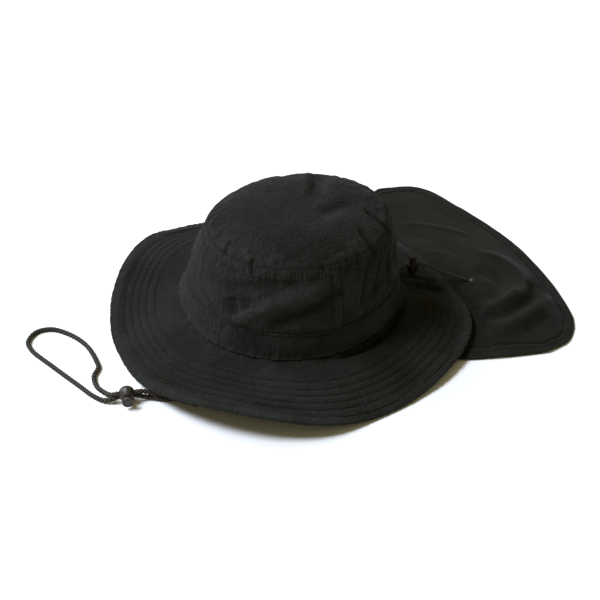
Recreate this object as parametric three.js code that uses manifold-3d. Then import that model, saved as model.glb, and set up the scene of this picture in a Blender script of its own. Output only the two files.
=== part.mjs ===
// Safari hat with a wide quilted brim, a neck flap and two cord locks, lying on a flat surface.
// Millimetres, +Z up, surface at Z = 0. The front of the hat is towards -Y and the wearer's left
// towards +X. Shape tables give lengths as shares of the sizes that they follow.
import * as THREE from "three";
import { mergeVertices } from "three/addons/utils/BufferGeometryUtils.js";
import Module from "manifold-3d";

const wasm = await Module();
wasm.setup();

// Crown
const HEAD_WIDTH = 186;
const HEAD_LENGTH = 204;
const BASE_HEIGHT = 31;
const BASE_SLOPE = -0.07;
const BAND_HEIGHT = 25;
const BAND_INSET = 4;
const CROWN_HEIGHT = 77.5;
const TOP_WIDTH = 140;
const TOP_LENGTH = 170;
const TOP_RISE = 20;
const TOP_SLOPE = -0.03;
const LEAN_BACK = 8;
const LEAN_LEFT = 1;
const SHOULDER_CURVE = 1.6;
const DOME_CURVE = 3.5;

// Brim
const BRIM_WIDTH = 75;
const BINDING_WIDTH = 9.5;

// Neck flap
const FLAP_START = 20;
const FLAP_SPREAD = 150;
const FLAP_REACH = 250;
const FLAP_DRAPE = 70;
const FLAP_SIDE_BOW = 6;
const FLAP_PRESS = 0.7;
const UNDER_BRIM = 1.3;

// Cloth
const CROWN_CLOTH = 1.4;
const BRIM_CLOTH = 1.6;
const BINDING_CLOTH = 2.2;
const FLAP_CLOTH = 1.2;
const GAP = 0.3;

// Chin cord and its lock
const CHIN_CORD = 3.5;
const CHIN_LOCK = 13.4;
const CHIN_BUTTON = 8.4;
const CHIN_STEM = 5;
const CHIN_TRAVEL = 2.5;

// Draw cord, its lock and its end bead
const DRAW_CORD = 1.6;
const DRAW_LOCK_HEIGHT = 16.5;
const DRAW_LOCK_WIDTH = 9;
const DRAW_BUTTON = 7.4;
const DRAW_STEM = 5;
const DRAW_TRAVEL = 2;
const DRAW_BEAD = 7.6;

// Locks
const CORD_FIT = 0.9;
const STEM_FIT = 0.35;
const BUTTON_HEAD = 2.2;

// Mesh fineness
const STEPS_ROUND = 60;
const CORD_SIDES = 8;

// The brim every 15 degrees: how far its edge reaches out, as a share of the brim's width; how high
// the edge lies, as a share of the crown's base height; and how early it drops, 1 being straight.
const BRIM_EDGE = [
  { at: 0, reach: 0.93, lift: 0.05, early: 1.0 },
  { at: 15, reach: 0.92, lift: 0.03, early: 1.0 },
  { at: 30, reach: 0.93, lift: 0.18, early: 1.2 },
  { at: 45, reach: 0.95, lift: 0.23, early: 1.5 },
  { at: 60, reach: 0.92, lift: 0.16, early: 2.0 },
  { at: 75, reach: 0.79, lift: 0.08, early: 2.4 },
  { at: 90, reach: 0.71, lift: 0.07, early: 2.6 },
  { at: 105, reach: 0.71, lift: 0.07, early: 2.6 },
  { at: 120, reach: 0.75, lift: 0.07, early: 2.3 },
  { at: 135, reach: 0.82, lift: 0.07, early: 2.0 },
  { at: 150, reach: 0.89, lift: 0.06, early: 1.6 },
  { at: 165, reach: 0.94, lift: 0.03, early: 1.4 },
  { at: 180, reach: 0.97, lift: 0.11, early: 1.3 },
  { at: 195, reach: 0.99, lift: 0.32, early: 1.2 },
  { at: 210, reach: 0.98, lift: 0.73, early: 1.2 },
  { at: 225, reach: 0.94, lift: 0.76, early: 1.0 },
  { at: 240, reach: 0.93, lift: 0.4, early: 1.0 },
  { at: 255, reach: 0.9, lift: 0.02, early: 1.0 },
  { at: 270, reach: 0.87, lift: 0.0, early: 1.0 },
  { at: 285, reach: 0.93, lift: 0.28, early: 1.0 },
  { at: 300, reach: 0.97, lift: 0.64, early: 1.0 },
  { at: 315, reach: 0.99, lift: 0.81, early: 1.0 },
  { at: 330, reach: 0.99, lift: 0.65, early: 1.0 },
  { at: 345, reach: 0.98, lift: 0.34, early: 1.0 },
];

// Dents in the crown. at: direction in degrees; level: 1 at the band's top, 2 at the top seam, 3 at
// the centre of the top; spread in degrees and tall in levels; turn: degrees gained per level;
// depth: share of the crown's height.
const CROWN_DENTS = [
  { at: 165, level: 2.25, spread: 13, tall: 0.5, turn: -10, depth: 0.085 },
  { at: 128, level: 2.2, spread: 16, tall: 0.4, turn: 20, depth: 0.06 },
  { at: 70, level: 2.15, spread: 14, tall: 0.35, turn: 20, depth: 0.05 },
  { at: 330, level: 1.45, spread: 24, tall: 0.16, turn: 60, depth: 0.035 },
  { at: 285, level: 1.3, spread: 20, tall: 0.2, turn: 50, depth: 0.03 },
  { at: 35, level: 1.5, spread: 10, tall: 0.5, turn: -10, depth: 0.03 },
];

// The flap's outer edge from its right corner to its left one, as shares of its spread and reach.
const FLAP_EDGE = [
  { across: -0.975, back: 0.69 },
  { across: -0.935, back: 0.795 },
  { across: -0.83, back: 0.865 },
  { across: -0.53, back: 0.928 },
  { across: -0.17, back: 0.984 },
  { across: 0.17, back: 1.0 },
  { across: 0.54, back: 0.98 },
  { across: 0.84, back: 0.932 },
  { across: 0.98, back: 0.85 },
  { across: 1.01, back: 0.75 },
];

// Folds standing up in the flap. across and back: the middle, as shares of the flap's spread and
// reach; turn: its direction in degrees from +X; long, wide and high: shares of the flap's spread.
const FLAP_FOLDS = [
  { across: -0.42, back: 0.8, turn: 28, long: 0.36, wide: 0.09, high: 0.04 },
  { across: 0.02, back: 0.76, turn: 32, long: 0.22, wide: 0.09, high: 0.05 },
  { across: 0.42, back: 0.74, turn: 60, long: 0.16, wide: 0.1, high: 0.07 },
  { across: 0.72, back: 0.62, turn: 80, long: 0.2, wide: 0.09, high: 0.075 },
  { across: 0.62, back: 0.88, turn: 140, long: 0.2, wide: 0.09, high: 0.05 },
  { across: -0.6, back: 0.7, turn: 60, long: 0.2, wide: 0.08, high: 0.04 },
];

// Routes of the cords, measured from the middle of the crown's base on the surface.
const CHIN_LEFT_ROUTE = [
  [97, -10, 21.6],
  [96.6, -12, 16.5],
  [94, -28, 6.5],
  [88, -60, 1.8],
  [84, -95, 1.8],
  [78, -127, 1.8],
  [65, -143.5, 2.2],
  [54.5, -154.5, 4.2],
  [50.3, -162, 6.6],
  [47.6, -169, 8.3],
  [46, -174.5, 8.65],
  [43.8, -182.2, 8.65],
];
const CHIN_RIGHT_ROUTE = [
  [-97, -10, 33.3],
  [-96, -12.5, 28],
  [-87, -34, 13.5],
  [-66, -58, 3],
  [-30, -84, 1.8],
  [12, -108, 1.8],
  [50, -131, 1.8],
  [52, -144, 1.8],
  [46.5, -155, 1.8],
  [46, -164, 3],
  [46.8, -170, 4.4],
  [46, -174.5, 4.75],
  [43.8, -182.2, 4.75],
];
const CHIN_LOOP_ROUTE = [
  [43.7, -182.5, 8.65],
  [41.6, -189.8, 8.65],
  [38.2, -194.4, 7.2],
  [29, -196.8, 3],
  [16, -200.5, 1.8],
  [2, -198, 1.8],
  [-8, -190, 1.8],
  [-18, -188.5, 1.8],
  [-42, -189, 1.8],
  [-63, -197, 1.8],
  [-78, -210, 1.8],
  [-80, -224, 1.8],
  [-70, -235.5, 1.8],
  [-58, -236.5, 1.8],
  [-28, -227, 1.8],
  [9, -214, 1.8],
  [26, -208, 1.8],
  [36, -202.2, 2.3],
  [40.3, -196.4, 4],
  [41.6, -190.2, 4.75],
  [43.7, -182.5, 4.75],
];
const DRAW_LEFT_ROUTE = [
  [16, 105.4, 33],
  [9.6, 113, 27.8],
  [5, 120.6, 23.4],
  [6.2, 126.8, 23],
  [7.8, 133, 22.6],
  [14.6, 143.4, 18.8],
  [27.6, 162.6, 11],
  [34.3, 172.4, 7.4],
];
const DRAW_RIGHT_ROUTE = [
  [12.4, 105.8, 32.6],
  [7, 114, 27.6],
  [3.1, 121, 23.4],
  [4.4, 127.2, 23],
  [5.9, 133.4, 22.6],
  [12.6, 144.4, 18.8],
  [25.9, 163.8, 11],
  [32.7, 173.4, 7.4],
];

const CHIN_LOCK_PLACE = { x: 43.8, y: -182.2, heading: -16 };
const DRAW_LOCK_PLACE = { x: 5.3, y: 127, heading: -13 };
const DRAW_BEAD_PLACE = { x: 35.6, y: 176.5 };

const RADIANS = Math.PI / 180;

function catmullRom(t, a, b, c, d) {
  const square = t * t;
  const cube = square * t;
  const start = 2 * b + (c - a) * t;
  return (start + (2 * a - 5 * b + 4 * c - d) * square + (3 * b - a - 3 * c + d) * cube) / 2;
}

// A column of a table whose rows are evenly spaced round the hat.
function readRound(rows, column, degrees) {
  const place = (THREE.MathUtils.euclideanModulo(degrees, 360) * rows.length) / 360;
  const row = Math.floor(place);
  const near = [-1, 0, 1, 2].map((k) => rows[(row + k + rows.length) % rows.length][column]);
  return catmullRom(place - row, ...near);
}

function dentDepth(degrees, level) {
  let depth = 0;
  for (const dent of CROWN_DENTS) {
    const up = level - dent.level;
    const off = THREE.MathUtils.euclideanModulo(degrees - dent.at - dent.turn * up + 180, 360) - 180;
    depth += dent.depth * CROWN_HEIGHT * Math.exp(-((off / dent.spread) ** 2) - (up / dent.tall) ** 2);
  }
  return depth * Math.min((3 - Math.min(level, 3)) / 0.4, 1);
}

// Middle surface of the crown. level: 0 at the join with the brim, 1 at the band's top, 2 at the
// top seam, 3 at the centre of the top.
function crownPoint(level, degrees) {
  const wall = Math.min(level, 2);
  const height = wall < 1
    ? wall * BAND_HEIGHT
    : BAND_HEIGHT + (wall - 1) * (CROWN_HEIGHT - BAND_HEIGHT);
  const share = height / CROWN_HEIGHT;
  const inset = BAND_INSET * Math.min(wall, 1);
  const narrowing = Math.max(wall - 1, 0) ** SHOULDER_CURVE;
  const halfWidth = THREE.MathUtils.lerp(HEAD_WIDTH / 2 - inset, TOP_WIDTH / 2, narrowing);
  const halfLength = THREE.MathUtils.lerp(HEAD_LENGTH / 2 - inset, TOP_LENGTH / 2, narrowing);
  const across = halfWidth * Math.cos(degrees * RADIANS);
  const along = halfLength * Math.sin(degrees * RADIANS);
  const slope = THREE.MathUtils.lerp(BASE_SLOPE, TOP_SLOPE, share);
  const inward = Math.min(Math.max(3 - level, 0), 1);
  const x = across * inward + LEAN_LEFT * share;
  const y = along * inward + LEAN_BACK * share;
  const dome = TOP_RISE * (1 - inward ** DOME_CURVE);
  const z = BASE_HEIGHT + height + slope * x + TOP_SLOPE * share * y + dome;
  const point = new THREE.Vector3(x, y, z);
  const core = new THREE.Vector3(0, 0, BASE_HEIGHT + CROWN_HEIGHT / 2);
  const inside = core.sub(point).normalize();
  return point.addScaledVector(inside, dentDepth(degrees, level));
}

function joinPoint(degrees) {
  const x = (HEAD_WIDTH / 2) * Math.cos(degrees * RADIANS);
  const y = (HEAD_LENGTH / 2) * Math.sin(degrees * RADIANS);
  return new THREE.Vector3(x, y, BASE_HEIGHT + BASE_SLOPE * x);
}

function joinNormal(degrees) {
  const x = Math.cos(degrees * RADIANS) / HEAD_WIDTH;
  const y = Math.sin(degrees * RADIANS) / HEAD_LENGTH;
  return new THREE.Vector3(x, y, 0).normalize();
}

// Middle surface of the brim, a share out from the join to the edge.
function brimPoint(out, degrees) {
  const join = joinPoint(degrees);
  const reach = BRIM_WIDTH * readRound(BRIM_EDGE, "reach", degrees);
  const low = BINDING_CLOTH / 2 + BASE_HEIGHT * Math.max(readRound(BRIM_EDGE, "lift", degrees), 0);
  const early = readRound(BRIM_EDGE, "early", degrees);
  const drop = (join.z - low) * (1 - Math.max(1 - out, 0) ** early);
  const point = join.clone().addScaledVector(joinNormal(degrees), reach * out);
  point.z -= drop;
  return point;
}

// The direction from which a point lies straight out from the join.
function directionOf(x, y) {
  let degrees = Math.atan2(y / HEAD_LENGTH, x / HEAD_WIDTH) / RADIANS;
  for (let pass = 0; pass < 4; pass += 1) {
    const join = joinPoint(degrees);
    const normal = joinNormal(degrees);
    const out = (x - join.x) * normal.x + (y - join.y) * normal.y;
    const aside = (y - join.y) * normal.x - (x - join.x) * normal.y;
    degrees += aside / (HEAD_LENGTH / 2 + out) / RADIANS;
  }
  return degrees;
}

// Height of the flap's middle surface that just clears the brim above it, or none past the brim.
function heightUnderBrim(x, y) {
  const degrees = directionOf(x, y);
  const join = joinPoint(degrees);
  const out = Math.hypot(x - join.x, y - join.y) / (BRIM_WIDTH * readRound(BRIM_EDGE, "reach", degrees));
  if (out > 1.1) {
    return Infinity;
  }
  const easing = UNDER_BRIM * Math.min(out / 0.2, 1);
  const above = THREE.MathUtils.lerp(BRIM_CLOTH, BINDING_CLOTH, THREE.MathUtils.smoothstep(out, 0.6, 0.8));
  const upright = Math.abs(surfaceNormal(brimPoint, out, degrees, 0.02, 1).z);
  return brimPoint(out, degrees).z - (above / 2 + GAP + easing + FLAP_CLOTH / 2) / upright;
}

// Height of the folds, pressed flat at their feet.
function foldHeight(x, y) {
  let height = 0;
  for (const fold of FLAP_FOLDS) {
    const dx = x - fold.across * FLAP_SPREAD;
    const dy = y - fold.back * FLAP_REACH;
    const along = dx * Math.cos(fold.turn * RADIANS) + dy * Math.sin(fold.turn * RADIANS);
    const aside = dy * Math.cos(fold.turn * RADIANS) - dx * Math.sin(fold.turn * RADIANS);
    const length = (along / (fold.long * FLAP_SPREAD)) ** 2;
    const width = (aside / (fold.wide * FLAP_SPREAD)) ** 2;
    height += fold.high * FLAP_SPREAD * Math.exp(-length - width);
  }
  return Math.max(height - FLAP_PRESS, 0);
}

const flapEdge = new THREE.CatmullRomCurve3(
  FLAP_EDGE.map((row) => new THREE.Vector3(row.across * FLAP_SPREAD, row.back * FLAP_REACH, 0)),
);

// Middle surface of the flap. out: 0 at the seam under the brim, 1 at the hem; side: 0 at the
// wearer's right, 1 at the left.
function flapPoint(out, side) {
  const degrees = THREE.MathUtils.lerp(180 - FLAP_START, FLAP_START, side);
  const seam = brimPoint(0.04, degrees);
  const hem = flapEdge.getPoint(THREE.MathUtils.clamp(side, 0, 1));
  const bow = FLAP_SIDE_BOW * 4 * out * (1 - out) * (2 * side - 1) ** 3;
  const x = THREE.MathUtils.lerp(seam.x, hem.x, out) + bow;
  const y = THREE.MathUtils.lerp(seam.y, hem.y, out);
  const fall = Math.max(1 - Math.hypot(x - seam.x, y - seam.y) / FLAP_DRAPE, 0) ** 2;
  const hemFlat = Math.min((1 - out) / 0.12, 1);
  const sideFlat = Math.min(Math.min(side, 1 - side) / 0.1, 1);
  const loose = seam.z * fall + foldHeight(x, y) * hemFlat * sideFlat;
  const lying = FLAP_CLOTH / 2;
  const z = Math.max(Math.min(heightUnderBrim(x, y), loose + lying), lying);
  return new THREE.Vector3(x, y, z);
}

// Steps from one value to another, both included.
function steps(from, to, count) {
  return Array.from({ length: count + 1 }, (_, k) => THREE.MathUtils.lerp(from, to, k / count));
}

function surfaceNormal(surface, u, v, du, dv) {
  const alongU = surface(u + du, v).sub(surface(u - du, v));
  const alongV = surface(u, v + dv).sub(surface(u, v - dv));
  const normal = alongV.cross(alongU);
  return normal.length() < 1e-6 ? new THREE.Vector3(0, 0, 1) : normal.normalize();
}

// Merges shared vertices and drops the faces that a pole folds to nothing.
function closeSkin(geometry) {
  geometry.deleteAttribute("normal");
  geometry.deleteAttribute("uv");
  const merged = mergeVertices(geometry, 1e-4);
  const corners = merged.index.array;
  const kept = [];
  for (let k = 0; k < corners.length; k += 3) {
    const [a, b, c] = [corners[k], corners[k + 1], corners[k + 2]];
    if (a !== b && b !== c && c !== a) {
      kept.push(a, b, c);
    }
  }
  merged.setIndex(kept);
  merged.computeVertexNormals();
  return merged;
}

// A closed sheet of cloth about a middle surface, flattened where it meets the surface below.
function cloth(surface, us, vs, thickness, ring) {
  const du = (us.at(-1) - us[0]) / us.length / 4;
  const dv = (vs.at(-1) - vs[0]) / vs.length / 4;
  const positions = [];
  for (const side of [1, -1]) {
    for (const u of us) {
      for (const v of vs) {
        const normal = surfaceNormal(surface, u, v, du, dv);
        const point = surface(u, v).addScaledVector(normal, (side * thickness) / 2);
        positions.push(point.x, point.y, Math.max(point.z, 0));
      }
    }
  }
  const columns = vs.length;
  const outer = (i, j) => i * columns + (ring ? j % (columns - 1) : j);
  const inner = (i, j) => us.length * columns + outer(i, j);
  const index = [];
  const quad = (a, b, c, d) => index.push(a, b, c, a, c, d);
  for (let i = 0; i + 1 < us.length; i += 1) {
    for (let j = 0; j + 1 < columns; j += 1) {
      quad(outer(i, j), outer(i, j + 1), outer(i + 1, j + 1), outer(i + 1, j));
      quad(inner(i, j), inner(i + 1, j), inner(i + 1, j + 1), inner(i, j + 1));
    }
  }
  const last = us.length - 1;
  for (let j = 0; j + 1 < columns; j += 1) {
    quad(inner(0, j), inner(0, j + 1), outer(0, j + 1), outer(0, j));
    quad(inner(last, j), outer(last, j), outer(last, j + 1), inner(last, j + 1));
  }
  for (let i = 0; i < last && !ring; i += 1) {
    quad(inner(i, 0), outer(i, 0), outer(i + 1, 0), inner(i + 1, 0));
    quad(inner(i, columns - 1), inner(i + 1, columns - 1), outer(i + 1, columns - 1), outer(i, columns - 1));
  }
  const geometry = new THREE.BufferGeometry();
  geometry.setAttribute("position", new THREE.Float32BufferAttribute(positions, 3));
  geometry.setIndex(index);
  return closeSkin(geometry);
}

const fabric = () => new THREE.MeshStandardMaterial({ color: 0x2a2b29, roughness: 0.92, metalness: 0 });
const edging = () => new THREE.MeshStandardMaterial({ color: 0x30312e, roughness: 0.88, metalness: 0 });
const knit = () => new THREE.MeshStandardMaterial({ color: 0x272722, roughness: 0.8, metalness: 0 });
const braid = () => new THREE.MeshStandardMaterial({ color: 0x342f26, roughness: 0.7, metalness: 0 });
const plastic = () => new THREE.MeshStandardMaterial({ color: 0x2c2821, roughness: 0.35, metalness: 0 });

function named(name, geometry, material) {
  const mesh = new THREE.Mesh(geometry, material);
  mesh.name = name;
  return mesh;
}

// Half a seam's gap as a turn about the crown.
const SEAM_TURN = GAP / HEAD_WIDTH / RADIANS;
const BAND_SEAM = GAP / BAND_HEIGHT;
const WALL_SEAM = GAP / (CROWN_HEIGHT - BAND_HEIGHT);
const TOP_SEAM = (2 * GAP) / TOP_WIDTH;
const JOIN_SEAM = (BRIM_CLOTH / 2 + GAP + 0.2) / BAND_HEIGHT;

function crownTop() {
  const levels = [2 + TOP_SEAM, 2.05, 2.14, 2.32, 2.6, 3];
  return named("crown_top", cloth(crownPoint, levels, steps(0, 360, STEPS_ROUND), CROWN_CLOTH, true), fabric());
}

function crownSide(name, from) {
  const turns = steps(from + SEAM_TURN, from + 180 - SEAM_TURN, STEPS_ROUND / 2);
  const levels = steps(1 + WALL_SEAM / 2, 2 - WALL_SEAM / 2, 5);
  return named(name, cloth(crownPoint, levels, turns, CROWN_CLOTH, false), fabric());
}

function crownBand() {
  const levels = steps(JOIN_SEAM, 1 - BAND_SEAM / 2, 3);
  return named("crown_band", cloth(crownPoint, levels, steps(0, 360, STEPS_ROUND), CROWN_CLOTH, true), fabric());
}

function brimHalf(name, from) {
  const turns = steps(from + SEAM_TURN, from + 180 - SEAM_TURN, STEPS_ROUND / 2);
  const outs = steps(0, 1 - (BINDING_WIDTH + GAP) / BRIM_WIDTH, 6);
  return named(name, cloth(brimPoint, outs, turns, BRIM_CLOTH, false), fabric());
}

function brimBinding() {
  const outs = steps(1 - BINDING_WIDTH / BRIM_WIDTH, 1, 2);
  return named("brim_binding", cloth(brimPoint, outs, steps(0, 360, STEPS_ROUND), BINDING_CLOTH, true), edging());
}

function neckFlap() {
  return named("neck_flap", cloth(flapPoint, steps(0, 1, 13), steps(0, 1, 30), FLAP_CLOTH, false), knit());
}

// A cord laid along its route, as a plain round tube.
function cord(name, route, diameter, count) {
  const path = new THREE.CatmullRomCurve3(route.map((point) => new THREE.Vector3(...point)));
  const section = new THREE.Shape();
  section.absarc(0, 0, diameter / 2, 0, 2 * Math.PI);
  const geometry = new THREE.ExtrudeGeometry(section, {
    steps: count,
    curveSegments: CORD_SIDES / 2,
    extrudePath: path,
  });
  const places = geometry.attributes.position;
  for (let k = 0; k < places.count; k += 1) {
    places.setZ(k, Math.max(places.getZ(k), 0));
  }
  return named(name, closeSkin(geometry), braid());
}

function solid(geometry) {
  const skin = closeSkin(geometry);
  const mesh = new wasm.Mesh({
    numProp: 3,
    vertProperties: new Float32Array(skin.attributes.position.array),
    triVerts: new Uint32Array(skin.index.array),
  });
  return new wasm.Manifold(mesh);
}

function skinOf(body) {
  const mesh = body.getMesh();
  const geometry = new THREE.BufferGeometry();
  geometry.setAttribute("position", new THREE.Float32BufferAttribute(mesh.vertProperties, 3));
  geometry.setIndex(Array.from(mesh.triVerts));
  return closeSkin(geometry);
}

// A slot for two cords side by side, running along Y through the middle.
function cordSlot(diameter, apart, length) {
  const radius = diameter / 2;
  const outline = new THREE.Shape();
  outline.absarc(apart / 2, 0, radius, -Math.PI / 2, Math.PI / 2);
  outline.absarc(-apart / 2, 0, radius, Math.PI / 2, 1.5 * Math.PI);
  const slot = new THREE.ExtrudeGeometry(outline, { depth: length, bevelEnabled: false, curveSegments: 5 });
  slot.translate(0, 0, -length / 2);
  slot.rotateX(Math.PI / 2);
  return slot;
}

// Ball of the chin cord's lock: its bore along +X, its cord slot along Y and upright.
function chinLockBody() {
  const ball = new THREE.SphereGeometry(CHIN_LOCK / 2, 16, 10);
  const bore = new THREE.CylinderGeometry(CHIN_STEM / 2 + STEM_FIT, CHIN_STEM / 2 + STEM_FIT, CHIN_LOCK / 2, 14);
  bore.rotateZ(Math.PI / 2);
  bore.translate(CHIN_LOCK / 4 + 0.5, 0, 0);
  const slot = cordSlot(CHIN_CORD + CORD_FIT, CHIN_CORD + CORD_FIT, CHIN_LOCK * 1.2);
  slot.rotateY(Math.PI / 2);
  const body = solid(ball).subtract(solid(bore)).subtract(solid(slot));
  return named("chin_lock_body", skinOf(body), plastic());
}

function chinLockButton() {
  const tip = CHIN_CORD / 2 + CORD_FIT + CHIN_TRAVEL;
  const under = CHIN_LOCK / 2 + CHIN_TRAVEL + GAP;
  const edge = CHIN_BUTTON / 2;
  const profile = [
    [0, tip],
    [CHIN_STEM / 2, tip],
    [CHIN_STEM / 2, under],
    [edge, under],
    [edge, under + BUTTON_HEAD * 0.6],
    [edge * 0.86, under + BUTTON_HEAD],
    [0, under + BUTTON_HEAD],
  ];
  const geometry = new THREE.LatheGeometry(profile.map(([r, z]) => new THREE.Vector2(r, z)), 16);
  geometry.rotateZ(-Math.PI / 2);
  return named("chin_lock_button", closeSkin(geometry), plastic());
}

function chinLock() {
  const lock = new THREE.Group();
  lock.add(chinLockBody(), chinLockButton());
  lock.position.set(CHIN_LOCK_PLACE.x, CHIN_LOCK_PLACE.y, CHIN_LOCK / 2);
  lock.rotation.z = CHIN_LOCK_PLACE.heading * RADIANS;
  return lock;
}

const DRAW_SLOT_HEIGHT = DRAW_LOCK_HEIGHT * 0.69;
const DRAW_SLOT = DRAW_CORD * 2;

// Upright bell of the draw cord's lock: its bore opens upwards, its cord slot runs along Y.
function drawLockBody() {
  const wide = DRAW_LOCK_WIDTH / 2;
  const profile = [
    [0, 0],
    [wide * 0.62, 0],
    [wide * 0.92, DRAW_LOCK_HEIGHT * 0.12],
    [wide, DRAW_LOCK_HEIGHT * 0.4],
    [wide * 0.94, DRAW_LOCK_HEIGHT * 0.75],
    [wide * 0.8, DRAW_LOCK_HEIGHT],
    [0, DRAW_LOCK_HEIGHT],
  ];
  const bell = new THREE.LatheGeometry(profile.map(([r, z]) => new THREE.Vector2(r, z)), 16);
  bell.rotateX(Math.PI / 2);
  const depth = DRAW_LOCK_HEIGHT - DRAW_SLOT_HEIGHT + 0.5;
  const bore = new THREE.CylinderGeometry(DRAW_STEM / 2 + STEM_FIT, DRAW_STEM / 2 + STEM_FIT, depth, 14);
  bore.rotateX(Math.PI / 2);
  bore.translate(0, 0, DRAW_SLOT_HEIGHT + depth / 2);
  const slot = cordSlot(DRAW_SLOT, DRAW_CORD + GAP, DRAW_LOCK_WIDTH * 1.2);
  slot.translate(0, 0, DRAW_SLOT_HEIGHT);
  const body = solid(bell).subtract(solid(bore)).subtract(solid(slot));
  return named("draw_lock_body", skinOf(body), plastic());
}

function drawLockButton() {
  const tip = DRAW_SLOT_HEIGHT + DRAW_SLOT / 2 + GAP + DRAW_TRAVEL;
  const under = DRAW_LOCK_HEIGHT + DRAW_TRAVEL + GAP;
  const edge = DRAW_BUTTON / 2;
  const profile = [
    [0, tip],
    [DRAW_STEM / 2, tip],
    [DRAW_STEM / 2, under],
    [edge, under],
    [edge, under + BUTTON_HEAD * 0.7],
    [edge * 0.85, under + BUTTON_HEAD],
    [0, under + BUTTON_HEAD],
  ];
  const geometry = new THREE.LatheGeometry(profile.map(([r, z]) => new THREE.Vector2(r, z)), 16);
  geometry.rotateX(Math.PI / 2);
  return named("draw_lock_button", closeSkin(geometry), plastic());
}

// Height of the brim's upper side under a round foot.
function brimTopUnder(x, y, radius) {
  const heights = steps(0, 315, 7).map((turn) => {
    const px = x + radius * Math.cos(turn * RADIANS);
    const py = y + radius * Math.sin(turn * RADIANS);
    const degrees = directionOf(px, py);
    const join = joinPoint(degrees);
    const reach = BRIM_WIDTH * readRound(BRIM_EDGE, "reach", degrees);
    const out = Math.hypot(px - join.x, py - join.y) / reach;
    const upright = Math.abs(surfaceNormal(brimPoint, out, degrees, 0.02, 1).z);
    return brimPoint(out, degrees).z + BRIM_CLOTH / 2 / upright;
  });
  return Math.max(...heights);
}

function drawLock() {
  const lock = new THREE.Group();
  lock.add(drawLockBody(), drawLockButton());
  const { x, y } = DRAW_LOCK_PLACE;
  lock.position.set(x, y, brimTopUnder(x, y, DRAW_LOCK_WIDTH * 0.35) + GAP);
  lock.rotation.z = DRAW_LOCK_PLACE.heading * RADIANS;
  return lock;
}

function drawCordEnd() {
  const bead = named("draw_cord_end", closeSkin(new THREE.SphereGeometry(DRAW_BEAD / 2, 12, 8)), plastic());
  const { x, y } = DRAW_BEAD_PLACE;
  const beside = DRAW_BEAD / 4;
  const folds = [-beside, 0, beside].flatMap((dx) => [-beside, 0, beside].map((dy) => foldHeight(x + dx, y + dy)));
  bead.position.set(x, y, FLAP_CLOTH + GAP + Math.max(...folds) + DRAW_BEAD / 2);
  return bead;
}

const clothes = new THREE.Group();
clothes.add(
  crownTop(),
  crownSide("crown_side_front", 180),
  crownSide("crown_side_rear", 0),
  crownBand(),
  brimHalf("brim_front", 180),
  brimHalf("brim_rear", 0),
  brimBinding(),
  neckFlap(),
);

const cords = new THREE.Group();
cords.add(
  cord("chin_cord_left", CHIN_LEFT_ROUTE, CHIN_CORD, 16),
  cord("chin_cord_right", CHIN_RIGHT_ROUTE, CHIN_CORD, 19),
  cord("chin_cord_loop", CHIN_LOOP_ROUTE, CHIN_CORD, 27),
  cord("draw_cord_left", DRAW_LEFT_ROUTE, DRAW_CORD, 10),
  cord("draw_cord_right", DRAW_RIGHT_ROUTE, DRAW_CORD, 10),
  chinLock(),
  drawLock(),
  drawCordEnd(),
);

// The origin lies on the surface, under the middle of the cloth.
const hat = new THREE.Group();
hat.add(clothes, cords);
const middle = new THREE.Box3().setFromObject(clothes).getCenter(new THREE.Vector3());
hat.position.set(-middle.x, -middle.y, 0);

export default hat;
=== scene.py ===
import math

import bpy
import numpy as np
from mathutils import Matrix, Vector


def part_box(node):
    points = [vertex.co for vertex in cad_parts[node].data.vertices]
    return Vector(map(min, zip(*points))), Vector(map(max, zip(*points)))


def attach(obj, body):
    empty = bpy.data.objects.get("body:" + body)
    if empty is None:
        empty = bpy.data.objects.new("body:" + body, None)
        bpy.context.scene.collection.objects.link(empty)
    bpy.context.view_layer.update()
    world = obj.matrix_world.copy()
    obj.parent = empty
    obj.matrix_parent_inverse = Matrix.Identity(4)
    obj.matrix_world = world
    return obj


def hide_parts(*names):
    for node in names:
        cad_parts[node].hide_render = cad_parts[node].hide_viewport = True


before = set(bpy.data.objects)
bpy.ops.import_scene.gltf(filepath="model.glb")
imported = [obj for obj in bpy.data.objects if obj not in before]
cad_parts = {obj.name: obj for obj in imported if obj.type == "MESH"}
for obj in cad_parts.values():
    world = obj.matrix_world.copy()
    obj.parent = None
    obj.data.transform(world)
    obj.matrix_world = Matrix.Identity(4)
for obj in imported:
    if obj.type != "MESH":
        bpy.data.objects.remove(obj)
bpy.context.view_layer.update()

# The studio: a pale floor that the hat lies on, a large soft light from the upper left as the
# camera sees it, a weaker one more to the left, and the camera at the photograph's angle. Sizes
# are in metres, with the front of the hat towards -Y and the wearer's left towards +X.
CROWN_MIDDLE = Vector((0.0011528, -0.0410216, 0.0))
VIEW_TURN, VIEW_RISE, VIEW_AWAY = math.radians(64), math.radians(38), 1.5

towards_camera = Vector(
    (
        math.sin(VIEW_TURN) * math.cos(VIEW_RISE),
        -math.cos(VIEW_TURN) * math.cos(VIEW_RISE),
        math.sin(VIEW_RISE),
    )
)
looked_at = CROWN_MIDDLE + Vector((0, 0, 0.031))
camera_data = bpy.data.cameras.new("photo_camera")
camera_data.lens = 96.75
camera_data.sensor_width = 36
camera_data.shift_x = 0.015
camera_data.shift_y = -0.0167
camera = bpy.data.objects.new("photo_camera", camera_data)
bpy.context.scene.collection.objects.link(camera)
camera.location = looked_at + towards_camera * VIEW_AWAY
camera.rotation_euler = towards_camera.to_track_quat("Z", "Y").to_euler()
bpy.context.scene.camera = camera


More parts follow.
